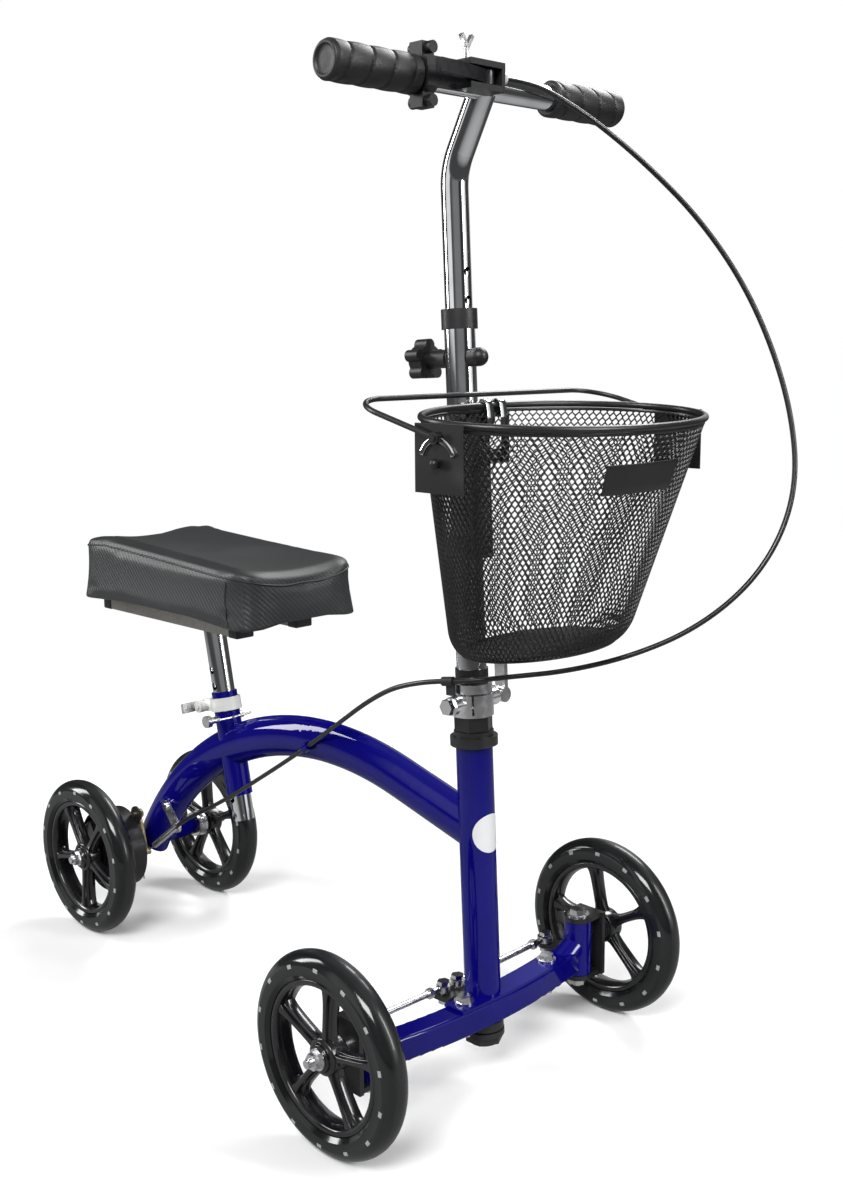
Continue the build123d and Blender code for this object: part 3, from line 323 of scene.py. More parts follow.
def plywood():
    wood = Finish("pad_board_wood", (0.30, 0.20, 0.11), 0.6)
    _, _, z = wood.axes()
    band = wood.node("ShaderNodeTexWave", {"wave_type": "BANDS", "bands_direction": "Y"})
    wood.feed(band.inputs["Vector"], wood.place)
    band.inputs["Scale"].default_value = 30
    band.inputs["Distortion"].default_value = 6
    ply = (z * PLY_PITCH).fract().above(0.5)
    grain = Value(wood, band.outputs[1])
    wood.set("Base Color", wood.blend(grain * 0.7 + ply * 0.3, (0.34, 0.23, 0.13), (0.17, 0.10, 0.05)))
    wood.raise_surface(grain, 0.0002, 0.5)
    return wood.material


paint = car_paint()
chrome = bright_chrome()
zinc = plated_steel("zinc_plate", (0.82, 0.82, 0.83), (0.62, 0.62, 0.63), 0.18)
yellow_zinc = plated_steel("yellow_zinc_plate", (0.52, 0.43, 0.24), (0.34, 0.30, 0.20), 0.28)
dark_steel = plated_steel("dark_steel", (0.085, 0.085, 0.09), (0.05, 0.05, 0.055), 0.33)
cast_chrome = plated_steel("cast_chrome", (0.93, 0.93, 0.94), (0.78, 0.78, 0.80), 0.14)
rail_steel = plated_steel("rail_steel", (0.50, 0.49, 0.46), (0.34, 0.33, 0.31), 0.30)
powder = black_coat("black_powder_coat", (0.012, 0.012, 0.013), 0.34, 600)
moulded = black_coat("moulded_black_plastic", (0.009, 0.009, 0.010), 0.42, 340)
white_plastic = black_coat("white_plastic", (0.62, 0.62, 0.60), 0.35, 260)
rim_plastic = gloss_rim()
grip_rubber = wrapped_grip()
vinyl = pad_vinyl()
cable_jacket = cable_skin()
board_wood = plywood()

NODE_FINISH = {
    "arch_tube": paint, "head_tube": paint, "seat_tube": paint, "front_beam": paint,
    "foot_plate": paint, "beam_bolts": zinc, "rear_axle": zinc, "headset_cups": powder,
    "seat_clamp": white_plastic, "brake_cover": powder, "cable_stop": zinc,
    "brake_spring": zinc, "steerer_tube": powder, "steerer_nuts": powder,
    "fold_socket": cast_chrome, "pitman_arm": powder, "steerer_bolts": chrome,
    "cable_clip": moulded, "fold_lever": cast_chrome, "column_tube": chrome,
    "fold_knuckle": cast_chrome, "column_bands": moulded, "height_bolt": moulded,
    "basket_bracket": powder, "height_knob": moulded, "stem_tube": chrome,
    "handlebar": chrome, "grip_right": grip_rubber, "grip_left": grip_rubber,
    "lever_bracket": powder, "cable_barrel": white_plastic, "brake_lever": dark_steel,
    "lock_screw": zinc, "basket_rim": powder, "basket_fittings": powder,
    "basket_bail": powder, "knuckle_right": powder, "knuckle_left": powder,
    "front_hardware_right": zinc, "front_hardware_left": zinc, "tie_rod_right": zinc,
    "tie_rod_left": zinc, "seat_post": chrome, "seat_rails": rail_steel,
    "seat_board": board_wood, "seat_lever": zinc, "seat_pin": zinc,
    "brake_arm": yellow_zinc,
}
WHEELS = {
    "front_right": (0.2364, -0.1955, 0.095), "front_left": (0.2364, 0.1955, 0.095),
    "rear_right": (-0.345, -0.091, 0.095), "rear_left": (-0.345, 0.091, 0.095),
}


def coat_node(name, material):
    for held in nodes[name].material_slots:
        held.material = material


for name, material in NODE_FINISH.items():
    coat_node(name, material)
for name, centre in WHEELS.items():
    coat_node("rim_" + name, rim_plastic)
    coat_node("tyre_" + name, smoky_tyre("smoky_tyre_" + name, centre))


# ---- modelling helpers ----------------------------------------------------
def deselect():
    bpy.ops.object.select_all(action="DESELECT")


def settle(piece, body, slot, material, *replaced):
    """Puts a finished piece's place in its mesh and hands it to its body."""
    deselect()
    piece.select_set(True)
    bpy.context.view_layer.objects.active = piece
    bpy.ops.object.transform_apply(location=True, rotation=True, scale=True)
    piece.data.materials.clear()
    piece.data.materials.append(material)
    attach(piece, body)
    if replaced:
        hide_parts(*replaced)
    return piece


def apply_all(piece):
    deselect()
    piece.select_set(True)
    bpy.context.view_layer.objects.active = piece
    for modifier in list(piece.modifiers):
        bpy.ops.object.modifier_apply(modifier=modifier.name)


def from_mesh(name, build):
    """A new object whose mesh the given function fills."""
    mesh = bpy.data.meshes.new(name)
    shape = bmesh.new()
    build(shape)
    shape.to_mesh(mesh)
    shape.free()
    piece = bpy.data.objects.new(name, mesh)
    bpy.context.scene.collection.objects.link(piece)
    return piece


def span_rings(shape, rings):
    """Faces between each ring of points and the next."""
    for here, there in zip(rings, rings[1:]):
        for k in range(len(here)):
            m = (k + 1) % len(here)
            shape.faces.new((here[k], here[m], there[m], there[k]))


def smooth(piece, angle):
    deselect()
    piece.select_set(True)
    bpy.context.view_layer.objects.active = piece
    bpy.ops.object.shade_smooth_by_angle(angle=radians(angle))


# ---- brake cable ----------------------------------------------------------
CABLE_RADIUS, WIRE_RADIUS = 2.5, 0.8       # mm, as are the routes' points


def spline_of(name, points, radius):
    curve = bpy.data.curves.new(name, "CURVE")
    curve.dimensions = "3D"
    line = curve.splines.new("NURBS")
    line.points.add(len(points) - 1)
    for spot, place in zip(line.points, points):
        spot.co = (*[c / 1000 for c in place], 1)
    line.order_u = 3
    line.use_endpoint_u = True
    line.resolution_u = 10
    curve.bevel_depth = radius / 1000
    curve.bevel_resolution = 4
    curve.use_fill_caps = True
    piece = bpy.data.objects.new(name, curve)
    bpy.context.scene.collection.objects.link(piece)
    return piece


def tube_from(name, route):
    """A mesh object of a route's tube; the route itself goes."""
    mesh = bpy.data.meshes.new_from_object(route.evaluated_get(bpy.context.evaluated_depsgraph_get()))
    bpy.data.objects.remove(route)
    piece = bpy.data.objects.new(name, mesh)
    bpy.context.scene.collection.objects.link(piece)
    return piece


def run_of(curve_object):
    """The points that a spline passes through."""
    bare = curve_object.copy()
    bare.data = curve_object.data.copy()
    bare.data.bevel_depth = 0
    mesh = bpy.data.meshes.new_from_object(bare)
    points = [v.co.copy() for v in mesh.vertices]
    bpy.data.objects.remove(bare)
    return points


def cable(name, points, node):
    route = spline_of(name + "_route", points, CABLE_RADIUS)
    path = run_of(route)
    piece = tube_from(name, route)
    piece.data.materials.clear()
    piece.data.materials.append(cable_jacket)
    smooth(piece, 60)
    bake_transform(piece)
    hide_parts(node)
    return piece


UPPER = [
    (262, 2.3, 938), (261, 36, 939), (262, 74, 932), (274, 122, 910), (297, 167, 874),
    (331, 200, 827), (366, 221, 770), (395, 231, 708), (417, 233, 645), (423, 229.5, 615),
]
LOWER = [
    (423, 229.5, 615), (429, 226, 585), (426, 207, 533), (412, 174, 488), (386, 128, 452),
    (350, 82, 429), (308, 40, 415), (268, 6, 409), (245.4, -21.8, 406.1), (226, -25.8, 403.3),
]
REAR = [
    (214.4, -28.2, 401.6), (187.2, -33.9, 397.6), (130, -32, 377), (28.2, -20.5, 310),
    (-28.2, -20.5, 272), (-125, -22.2, 211), (-190, -21.5, 174), (-235.8, -19.2, 151.1),
    (-254, -23, 136),
]
WIRE = [
    (-254, -23, 136), (-278, -28, 116), (-301, -32.7, 97), (-309, -34.3, 89), (-312, -35, 76),
    (-310, -34.5, 58),
]
cable("cable_upper_half", UPPER,
      "brake_cable_upper")
cable("cable_lower_half", LOWER, "brake_cable_upper")


def inner_wire():
    wire = tube_from("brake_inner_wire", spline_of("inner_wire_route", WIRE, WIRE_RADIUS))
    wire.data.materials.clear()
    wire.data.materials.append(zinc)
    smooth(wire, 60)
    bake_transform(wire)


inner_wire()
cable("cable_rear", REAR,
      "brake_cable_rear")


# ---- grips ----------------------------------------------------------------
BAR_X, BAR_Z = 0.240, 0.934
TAPE_TURNS = 42           # laps per metre of bar
TAPE_RADIUS = 0.0156


def wrap_radius(along_bar, turn):
    """The grip's radius: one tape wound round it, each turn lapping the last."""
    lap = (along_bar * TAPE_TURNS + turn / tau) % 1.0
    edge = min(lap, 1 - lap)
    groove = 0.0011 * max(0.0, 1 - edge / 0.07) ** 1.5
    belly = 0.0008 * sin(pi * lap) ** 0.7
    return TAPE_RADIUS + belly - groove


def grip_piece(name, side):
    around = 72

    def ring(shape, along_bar, radius):
        places = []
        for k in range(around):
            turn = k * tau / around
            reach = radius if radius is not None else wrap_radius(along_bar, turn)
            place = (BAR_X + reach * cos(turn), side * along_bar, BAR_Z + reach * sin(turn))
            places.append(shape.verts.new(place))
        return places

    def build(shape):
        profile = [(0.0868, 0.0112), (0.0862, 0.0125), (0.0862, 0.0140), (0.0868, 0.0150)]
        profile += [(0.0874 + 0.0010 * k, None) for k in range(92)]
        profile += [(0.1796, 0.0154), (0.1808, 0.0150), (0.1816, 0.0141), (0.1819, 0.0128)]
        profile += [(0.1817, 0.0118), (0.1808, 0.0112), (0.1803, 0.0104), (0.1803, 0.0060)]
        rings = [ring(shape, y, r) for y, r in profile]
        span_rings(shape, rings)
        shape.faces.new(rings[-1])
        bmesh.ops.recalc_face_normals(shape, faces=shape.faces)

    grip = from_mesh(f"wrapped_{name}", build)
    smooth(grip, 50)
    settle(grip, "stem", "grip", grip_rubber, name)


grip_piece("grip_right", -1)
grip_piece("grip_left", 1)


# ---- five-spoke rims ------------------------------------------------------
SPOKE_COUNT, SPOKE_STEPS = 5, 18
SPOKE_START, SPOKE_END = 0.0155, 0.0655
BORE = 0.00405
HALF_RING = [(0.0640, 0.0070), (0.0650, 0.0098), (0.0668, 0.0110), (0.0700, 0.0110), (0.0710, 0.0100)]
HALF_HUB = [
    (BORE, 0.0130), (0.0120, 0.0130), (0.0128, 0.0122), (0.0134, 0.0096), (0.0164, 0.0090),
    (0.0174, 0.0080),
]
DRUM = [
    (BORE, 0.0130), (0.0385, 0.0130), (0.0400, 0.0145), (0.0400, 0.0487), (0.0385, 0.0502),
    (BORE, 0.0502),
]


def both_sides(half):
    """A profile's near half, then the same again mirrored."""
    return [(reach, -depth) for reach, depth in half] + half[::-1]


def ring_of(shape, reach, depth, around=72):
    """A circle of points round an axle that lies along the second axis."""
    turns = [k * tau / around for k in range(around)]
    return [shape.verts.new((reach * cos(t), depth, reach * sin(t))) for t in turns]


def lathe(shape, profile):
    """A closed ring turned from a closed profile of reach and depth."""
    rings = [ring_of(shape, reach, depth) for reach, depth in profile]
    span_rings(shape, rings + rings[:1])


def spoke(shape, turn):
    """A ribbed spoke that spreads where it meets the hub and the rim."""
    sections = []
    for step in range(SPOKE_STEPS + 1):
        share = step / SPOKE_STEPS
        reach = SPOKE_START + (SPOKE_END - SPOKE_START) * share
        at_hub = 0.0038 * exp((SPOKE_START - reach) / 0.006)
        at_rim = 0.0085 * exp((reach - SPOKE_END) / 0.0065)
        spread = at_hub + at_rim
        wide, rib = 0.0046 + spread, 0.0021 + 0.35 * spread
        flange, tall = 0.0036, 0.0076 + 0.0012 * share
        half = [(wide, flange), (rib + 0.0006, flange + 0.0008), (rib, tall)]
        profile = half + [(-a, b) for a, b in reversed(half)]
        profile += [(-a, -b) for a, b in profile]
        ahead = Vector((cos(turn), 0, sin(turn)))
        across = Vector((-sin(turn), 0, cos(turn)))
        places = [ahead * reach + across * a + Vector((0, b, 0)) for a, b in profile]
        sections.append([shape.verts.new(place) for place in places])
    span_rings(shape, sections)
    shape.faces.new(sections[0])
    shape.faces.new(sections[-1])


def rim_piece(name, centre, first_turn):
    def build(shape):
        lathe(shape, both_sides(HALF_RING) + [(0.0630, 0.0030), (0.0630, -0.0030)])
        lathe(shape, both_sides(HALF_HUB))
        for k in range(SPOKE_COUNT):
            spoke(shape, radians(first_turn) + k * tau / SPOKE_COUNT)
        if name == "rear_right":
            lathe(shape, DRUM)
        bmesh.ops.translate(shape, vec=centre, verts=shape.verts)
        bmesh.ops.recalc_face_normals(shape, faces=shape.faces)

    rim = from_mesh(f"spoked_rim_{name}", build)
    edge = rim.modifiers.new("edge", "BEVEL")
    edge.width = 0.0005
    edge.segments = 2
    edge.limit_method = "ANGLE"
    apply_all(rim)
    smooth(rim, 40)
    settle(rim, "wheel_" + name, "rim", rim_plastic, "rim_" + name)


for wheel_name, turn in (("front_right", 13), ("front_left", 30), ("rear_right", 50), ("rear_left", 22)):
    rim_piece(wheel_name, WHEELS[wheel_name], turn)


# ---- knee pad -------------------------------------------------------------
PAD_LOW, PAD_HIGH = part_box("knee_pad")
PAD_MID = Vector([(a + b) / 2 for a, b in zip(PAD_LOW, PAD_HIGH)])
PAD_HALF = Vector([(b - a) / 2 for a, b in zip(PAD_LOW, PAD_HIGH)])
PAD_CORNER = 0.026
CREST = 0.060             # from the pad's back to its highest line
CREST_Z = 0.500
COVER = 0.002             # how far the cover may stand outside the pad's box
DROOP_DOWN = 0.0075       # how far the skirt's corners hang


def pad_top(x, y):
    """Height of the pad's top: higher at the back, with a trough along it."""
    back, front = PAD_LOW[0], PAD_HIGH[0]
    crest = back + CREST
    if x < crest:
        ridge = CREST_Z - 0.006 + 0.006 * (x - back) / CREST
    else:
        ridge = CREST_Z - 0.014 * (x - crest) / (front - crest)
    dip = 0.009 * (1 - (y / PAD_HALF.y) ** 2)
    return ridge - dip - 0.002


def rounded_block():
    """The pad's block, its upright edges and its top edge rounded."""
    deselect()
    bpy.ops.mesh.primitive_cube_add(size=1, location=PAD_MID)
    pad = bpy.context.object
    pad.name = "pad_cushion"
    pad.scale = (2 * PAD_HALF.x - 0.006, 2 * PAD_HALF.y - 0.006, 2 * PAD_HALF.z - 0.002)
    bpy.ops.object.transform_apply(location=True, rotation=True, scale=True)
    bpy.ops.object.mode_set(mode="EDIT")
    bpy.ops.mesh.select_mode(type="EDGE")
    bpy.ops.mesh.select_all(action="DESELECT")
    shape = bmesh.from_edit_mesh(pad.data)
    for edge in shape.edges:
        edge.select = abs(edge.verts[0].co.z - edge.verts[1].co.z) > 0.01
    bmesh.update_edit_mesh(pad.data)
    bpy.ops.mesh.bevel(offset=PAD_CORNER, segments=7)
    bpy.ops.mesh.select_all(action="DESELECT")
    bpy.ops.mesh.select_mode(type="FACE")
    shape = bmesh.from_edit_mesh(pad.data)
    for face in shape.faces:
        face.select = face.normal.z > 0.9
    bmesh.update_edit_mesh(pad.data)
    bpy.ops.mesh.bevel(offset=0.010, segments=4)
    bpy.ops.object.mode_set(mode="OBJECT")
    pad.data.remesh_voxel_size = 0.0045
    bpy.ops.object.voxel_remesh()
    return pad


def shape_cover(pad):
    """Dishes the top, spreads the skirt and lets its corners hang."""
    top = PAD_HIGH[2] - 0.001
    for vertex in pad.data.vertices:
        x, y, z = vertex.co
        share = max(0.0, (z - PAD_LOW[2] - 0.02) / (top - PAD_LOW[2] - 0.02))
        vertex.co.z = z + share * (pad_top(x, y) - top)
        hang = max(0.0, 1 - (z - PAD_LOW[2]) / 0.055)
        flare = 0.0040 * hang * hang
        vertex.co.x += flare * min(1.0, max(-1.0, (x - PAD_MID.x) / (PAD_HALF.x - 0.02)))
        vertex.co.y += flare * min(1.0, max(-1.0, y / (PAD_HALF.y - 0.01)))
        corner = abs((x - PAD_MID.x) / PAD_HALF.x * y / PAD_HALF.y)
        outer = max(abs(x - PAD_MID.x) / PAD_HALF.x, abs(y) / PAD_HALF.y)
        if outer > 0.86:
            vertex.co.z -= DROOP_DOWN * hang * max(0.0, corner - 0.35) / 0.65


def cushion():
    """The sewn pad: a rounded block, swollen as cloth over its foam."""
    pad = rounded_block()
    shape_cover(pad)
    swell(pad, pressure=2.5, cap=0.0020)
    surface = pad.modifiers.new("smooth_cover", "SUBSURF")
    surface.levels = surface.render_levels = 1
    apply_all(pad)
    keep_inside(pad)
    skin_layer(pad)
    smooth(pad, 60)
    settle(pad, "seat", "vinyl", vinyl, "knee_pad")
    return pad


def swell(piece, pressure, cap):
    """Blows the cover up a little as cloth, and keeps the result."""
    start = [v.co.copy() for v in piece.data.vertices]
    base = piece.modifiers.new("cover", "CLOTH")
    group = piece.vertex_groups.new(name="held")
    low = [v.index for v in piece.data.vertices if v.co.z < PAD_LOW[2] + 0.006]
    group.add(low, 1.0, "REPLACE")
    base.settings.vertex_group_mass = "held"
    base.settings.use_pressure = True
    base.settings.uniform_pressure_force = pressure
    base.settings.effector_weights.gravity = 0
    base.settings.quality = 5
    for number in range(1, 16):
        bpy.context.scene.frame_set(number)
    shown = piece.evaluated_get(bpy.context.evaluated_depsgraph_get())
    moved = [v.co.copy() for v in shown.data.vertices]
    piece.modifiers.remove(base)
    piece.vertex_groups.remove(group)
    bpy.context.scene.frame_set(1)
    for vertex, before, after in zip(piece.data.vertices, start, moved):
        step = after - before
        if step.length > cap:
            step *= cap / step.length
        vertex.co = before + step


def keep_inside(piece):
    """No point stands more than the cover's thickness outside the pad's box."""
    for vertex in piece.data.vertices:
        for axis in range(3):
            low, high = PAD_LOW[axis] - COVER, PAD_HIGH[axis] + COVER
            if axis == 2:
                low = PAD_LOW[2] - 0.006
            vertex.co[axis] = min(high, max(low, vertex.co[axis]))


def round_pad(x, y):
    """How far round the pad's rim a place is, in metres."""
    dx, dy = x - PAD_MID.x, y
    flat_x, flat_y = PAD_HALF.x, PAD_HALF.y
    if abs(dy) / flat_y >= abs(dx) / flat_x:
        return dx if dy < 0 else 2 * (flat_x + flat_y) - dx
    return flat_x + flat_y + dy if dx > 0 else -(flat_x + flat_y) - dy


def skin_layer(piece):
    mesh = piece.data
    layer = mesh.uv_layers.new(name="skin")
    skirt = mesh.attributes.new("skirt", "FLOAT", "POINT")
    for face in mesh.polygons:
        spots = [mesh.vertices[mesh.loops[i].vertex_index].co for i in face.loop_indices]
        turns = [round_pad(p.x, p.y) for p in spots]
        for i, p, turn in zip(face.loop_indices, spots, turns):
            if max(turns) - min(turns) > 0.4 and turn < 0:
                turn += 4 * (PAD_HALF.x + PAD_HALF.y)
            layer.data[i].uv = (turn, p.z)
    for vertex in mesh.vertices:
        steep = 1 - abs(vertex.normal.z)
        skirt.data[vertex.index].value = min(1.0, max(0.0, (steep - 0.35) / 0.2))


def rim_loop(drop):
    """Places round the pad's side, at a drop below its top."""
    places = []
    half_x, half_y, corner = PAD_HALF.x, PAD_HALF.y, PAD_CORNER
    for sx, sy, first in ((1, 1, 0), (-1, 1, 90), (-1, -1, 180), (1, -1, 270)):
        for step in range(7):
            turn = radians(first + 15 * step)
            x = PAD_MID.x + sx * (half_x - corner) + corner * cos(turn)
            y = sy * (half_y - corner) + corner * sin(turn)
            places.append(Vector((x, y, pad_top(x, y) - drop)))
    full = []
    for here, there in zip(places, places[1:] + places[:1]):
        count = max(1, int((there - here).length / 0.006))
        for k in range(count):
            spot = here.lerp(there, k / count)
            spot.z = pad_top(spot.x, spot.y) - drop
            full.append(spot)
    return full


def bead(name, places, radius, body, slot, material, closed=True):
    """A thin round bead along the given places."""
    curve = bpy.data.curves.new(name, "CURVE")
    curve.dimensions = "3D"
    line = curve.splines.new("POLY")
    line.points.add(len(places) - 1)
    for spot, place in zip(line.points, places):
        spot.co = (*place, 1)
    line.use_cyclic_u = closed
    curve.bevel_depth = radius
    curve.bevel_resolution = 2
    curve.use_fill_caps = not closed
    route = bpy.data.objects.new(name + "_line", curve)
    bpy.context.scene.collection.objects.link(route)
    piece = tube_from(name, route)
    smooth(piece, 60)
    return settle(piece, body, slot, material)


def on_surface(piece, places, lift):
    settled = []
    for place in places:
        found, spot, normal, index = piece.closest_point_on_mesh(place)
        settled.append(spot + normal * lift if found else place)
    return settled


pad = cushion()
SEAM_DROP = 0.010
welt = on_surface(pad, rim_loop(SEAM_DROP), 0.0002)
bead("pad_top_seam", welt, 0.0011, "seat", "vinyl", vinyl)

for side in (-1, 1):
    x = PAD_HIGH[0] - PAD_CORNER - 0.004
    start = pad_top(x, 0.08) - SEAM_DROP
    line = [Vector((x, side * 0.12, start - 0.004 * k)) for k in range(14)]
    stitch = on_surface(pad, line, 0.0001)
    bead(f"pad_corner_seam_{side + 2}", stitch, 0.0008, "seat", "vinyl", vinyl, closed=False)


# ---- rail end caps --------------------------------------------------------
def rail_cap(name, x, y):
    deselect()
    bpy.ops.mesh.primitive_cube_add(size=1, location=(x, y, 0.4138))
    cap = bpy.context.object
    cap.name = name
    cap.scale = (0.016, 0.0236, 0.0232)
    bpy.ops.object.transform_apply(location=True, rotation=True, scale=True)
    edge = cap.modifiers.new("edge", "BEVEL")
    edge.width = 0.0016
    edge.segments = 3
    apply_all(cap)
    smooth(cap, 40)
    settle(cap, "seat", "black_plastic", moulded)


for end, cap_x in (("front", -0.0825), ("back", -0.3345)):
    rail_cap(f"rail_cap_{end}_right", cap_x, -0.041)
    rail_cap(f"rail_cap_{end}_left", cap_x, 0.041)


# ---- wire basket ----------------------------------------------------------
DROOP = 0.0699            # the mouth's fall to the front, per metre
BASKET_LOW, BASKET_TALL = 0.447, 0.203
FLOOR_X, LEAN = 0.311, 0.030
FLOOR_A, FLOOR_B = 0.060, 0.098
GROW_A, GROW_B = 0.031, 0.056
FOOT_RISE, FOOT_TUCK = 0.11, 0.014


def basket_spot(turn, rise, out=0.0):
    """A place on the basket's tapered wall."""
    low = max(0.0, 1 - rise / FOOT_RISE)
    tuck = FOOT_TUCK * (1 - sqrt(1 - low * low))
    x_half = FLOOR_A + GROW_A * rise + out - tuck
    y_half = FLOOR_B + GROW_B * rise + out - tuck
    x = FLOOR_X + LEAN * rise + x_half * cos(turn)
    tilt = rise * DROOP * x_half * cos(turn)
    return Vector((x, y_half * sin(turn), BASKET_LOW + BASKET_TALL * rise - tilt))


def hexagon_wall(around=112, rows=44):
    """Stretched-metal mesh: rows of six-sided holes, each row half a step on."""
    def build(shape):
        lines = []
        for row in range(rows + 1):
            line = []
            for k in range(2 * around):
                step = 0.3 if (k + row) % 2 == 0 else -0.3
                rise = 0.004 + 0.988 * min(rows, max(0, row + step)) / rows
                line.append(shape.verts.new(basket_spot(k * pi / around, rise, -0.0008)))
            lines.append(line)
        for row in range(rows):
            for k in range(row % 2, 2 * around, 2):
                low = [lines[row][(k + i) % (2 * around)] for i in range(3)]
                high = [lines[row + 1][(k + i) % (2 * around)] for i in range(3)]
                shape.faces.new(low + high[::-1])

    return build


def floor_grid(shape, wide=0.0060, tall=0.0050):
    """The finer diamonds of the basket's floor."""
    spots = {}

    def corner(i, j):
        if (i, j) not in spots:
            x, y = FLOOR_X + i * wide / 2, j * tall / 2
            spots[(i, j)] = shape.verts.new((x, y, BASKET_LOW + 0.0012))
        return spots[(i, j)]

    for i in range(-20, 21):
        for j in range(-40, 41):
            x, y = i * wide / 2, j * tall / 2
            if (i + j) % 2 or hypot(x / (FLOOR_A - FOOT_TUCK), y / (FLOOR_B - FOOT_TUCK)) > 1:
                continue
            shape.faces.new((corner(i - 1, j), corner(i, j - 1), corner(i + 1, j), corner(i, j + 1)))


def strands_of(name, build, thickness):
    """A mesh's edges, made into thin wires."""
    basket = from_mesh(name, build)
    strands = basket.modifiers.new("strands", "WIREFRAME")
    strands.thickness = thickness
    strands.use_even_offset = False
    strands.use_replace = True
    strands.use_boundary = True
    apply_all(basket)
    smooth(basket, 50)
    settle(basket, "basket", "mesh", powder, "basket_shell")


def wall_patch(name, turns, rises, out, thick, body, slot, material, closed=False):
    """A strip of sheet that follows the basket's wall."""
    def build(shape):
        grid = [[shape.verts.new(basket_spot(t, r, out)) for t in turns] for r in rises]
        for low, high in zip(grid, grid[1:]):
            pairs = list(zip(range(len(turns)), range(1, len(turns))))
            if closed:
                pairs.append((len(turns) - 1, 0))
            for a, b in pairs:
                shape.faces.new((low[a], low[b], high[b], high[a]))

    piece = from_mesh(name, build)
    wall = piece.modifiers.new("wall", "SOLIDIFY")
    wall.thickness = thick
    wall.offset = 0
    edge = piece.modifiers.new("edge", "BEVEL")
    edge.width = 0.0003
    edge.segments = 2
    apply_all(piece)
    smooth(piece, 50)
    return settle(piece, body, slot, material)


strands_of("basket_mesh", hexagon_wall(), 0.0017)
strands_of("basket_floor", floor_grid, 0.0014)
ROUND = [k * tau / 96 for k in range(96)]
bead("basket_foot_wire", [basket_spot(t, 0.004) for t in ROUND], 0.0014, "basket", "mesh", powder)
NECK = (0.985, 0.992, 0.999)
wall_patch("basket_neck_band", ROUND, NECK, -0.0004, 0.0014, "basket", "mesh", powder, closed=True)
SPAN = [-0.33 + 0.66 * k / 24 for k in range(25)]
PLATE = (0.735, 0.77, 0.81, 0.85, 0.865)
wall_patch("basket_name_plate", SPAN, PLATE, 0.0016, 0.0012, "basket", "black_plastic", moulded)


PIVOT_X, PIVOT_Z = 0.341, 0.622


def latch(side):
    """The bright quadrant and its stop ball on a basket side plate."""
    face_y = side * 0.1596
    outer, inner, deep = 0.021, 0.0165, 0.0016

    def build(shape):
        rings = []
        for step in range(17):
            turn = radians(20 + 140 * step / 16)
            section = []
            for reach, y in ((inner, 0), (outer, 0), (outer, deep), (inner, deep)):
                place = (PIVOT_X + reach * cos(turn), face_y + side * y, PIVOT_Z + reach * sin(turn))
                section.append(shape.verts.new(place))
            rings.append(section)
        span_rings(shape, rings)
        shape.faces.new(rings[0])
        shape.faces.new(rings[-1])
        bmesh.ops.recalc_face_normals(shape, faces=shape.faces)

    arc = from_mesh(f"latch_quadrant_{side + 2}", build)
    round_off = arc.modifiers.new("edge", "BEVEL")
    round_off.width = 0.0004
    round_off.segments = 2
    apply_all(arc)
    smooth(arc, 40)
    settle(arc, "basket", "chrome", chrome)
    deselect()
    seat = (PIVOT_X, face_y + side * 0.0035, PIVOT_Z)
    bpy.ops.mesh.primitive_uv_sphere_add(segments=24, ring_count=14, radius=0.0042, location=seat)
    ball = bpy.context.object
    ball.name = f"latch_ball_{side + 2}"
    bpy.ops.object.shade_smooth()
    settle(ball, "basket", "black_plastic", moulded)


latch(-1)
latch(1)


def rim_strap(name, middle):
    """A bright strap bent over the rear of the basket's rim, down its inside."""
    rim_x, rim_z, reach = 0.2502, 0.6593, 0.0050
    half_width, thick = 0.0042, 0.0012
    route = [(radians(195 - 15 * step), 0.0) for step in range(14)]
    route += [(0.0, 0.005 * step) for step in range(1, 6)]

    def build(shape):
        sections = []
        for turn, drop in route:
            section = []
            for side, lift in ((-1, 0), (1, 0), (1, thick), (-1, thick)):
                out = reach + lift
                bow = 0.0016 * sin(pi * drop / 0.025)
                ahead, up = out * cos(turn) + bow, out * sin(turn) - drop
                place = (rim_x + ahead, middle + side * half_width, rim_z + up)
                section.append(shape.verts.new(place))
            sections.append(section)
        span_rings(shape, sections)
        shape.faces.new(sections[0])
        shape.faces.new(sections[-1])
        bmesh.ops.recalc_face_normals(shape, faces=shape.faces)

    strap = from_mesh(name, build)
    edge = strap.modifiers.new("edge", "BEVEL")
    edge.width = 0.0003
    edge.segments = 2
    edge.limit_method = "ANGLE"
    apply_all(strap)
    smooth(strap, 40)
    settle(strap, "basket", "chrome", chrome)


rim_strap("rim_strap_right", -0.009)
rim_strap("rim_strap_left", 0.009)


# ---- badge on the head tube -----------------------------------------------
def badge():
    """A blank round label that wraps the head tube's front."""
    rake = radians(2.617)
    axis = Vector((-sin(rake), 0, cos(rake)))
    ahead = Vector((cos(rake), 0, sin(rake)))
    centre = Vector((0.240, 0, 0.078)) + axis * 0.1746
    tube = 0.0178

    def build(shape):
        rings = [[shape.verts.new(centre + ahead * (tube + 0.0002))]]
        for ring in range(1, 9):
            reach = 0.019 * ring / 8
            circle = []
            for k in range(48):
                turn = k * tau / 48
                bend = reach * cos(turn) / tube
                out = ahead * cos(bend) + Vector((0, 1, 0)) * sin(bend)
                circle.append(shape.verts.new(centre + out * (tube + 0.0002) + axis * reach * sin(turn)))
            rings.append(circle)
        for k in range(48):
            m = (k + 1) % 48
            shape.faces.new((rings[0][0], rings[1][k], rings[1][m]))
            for inner, outer in zip(rings[1:], rings[2:]):
                shape.faces.new((inner[k], outer[k], outer[m], inner[m]))

    label = from_mesh("head_tube_label", build)
    film = label.modifiers.new("film", "SOLIDIFY")
    film.thickness = 0.0002
    film.offset = 1
    apply_all(label)
    smooth(label, 40)
    settle(label, "frame", "white_plastic", label_film())


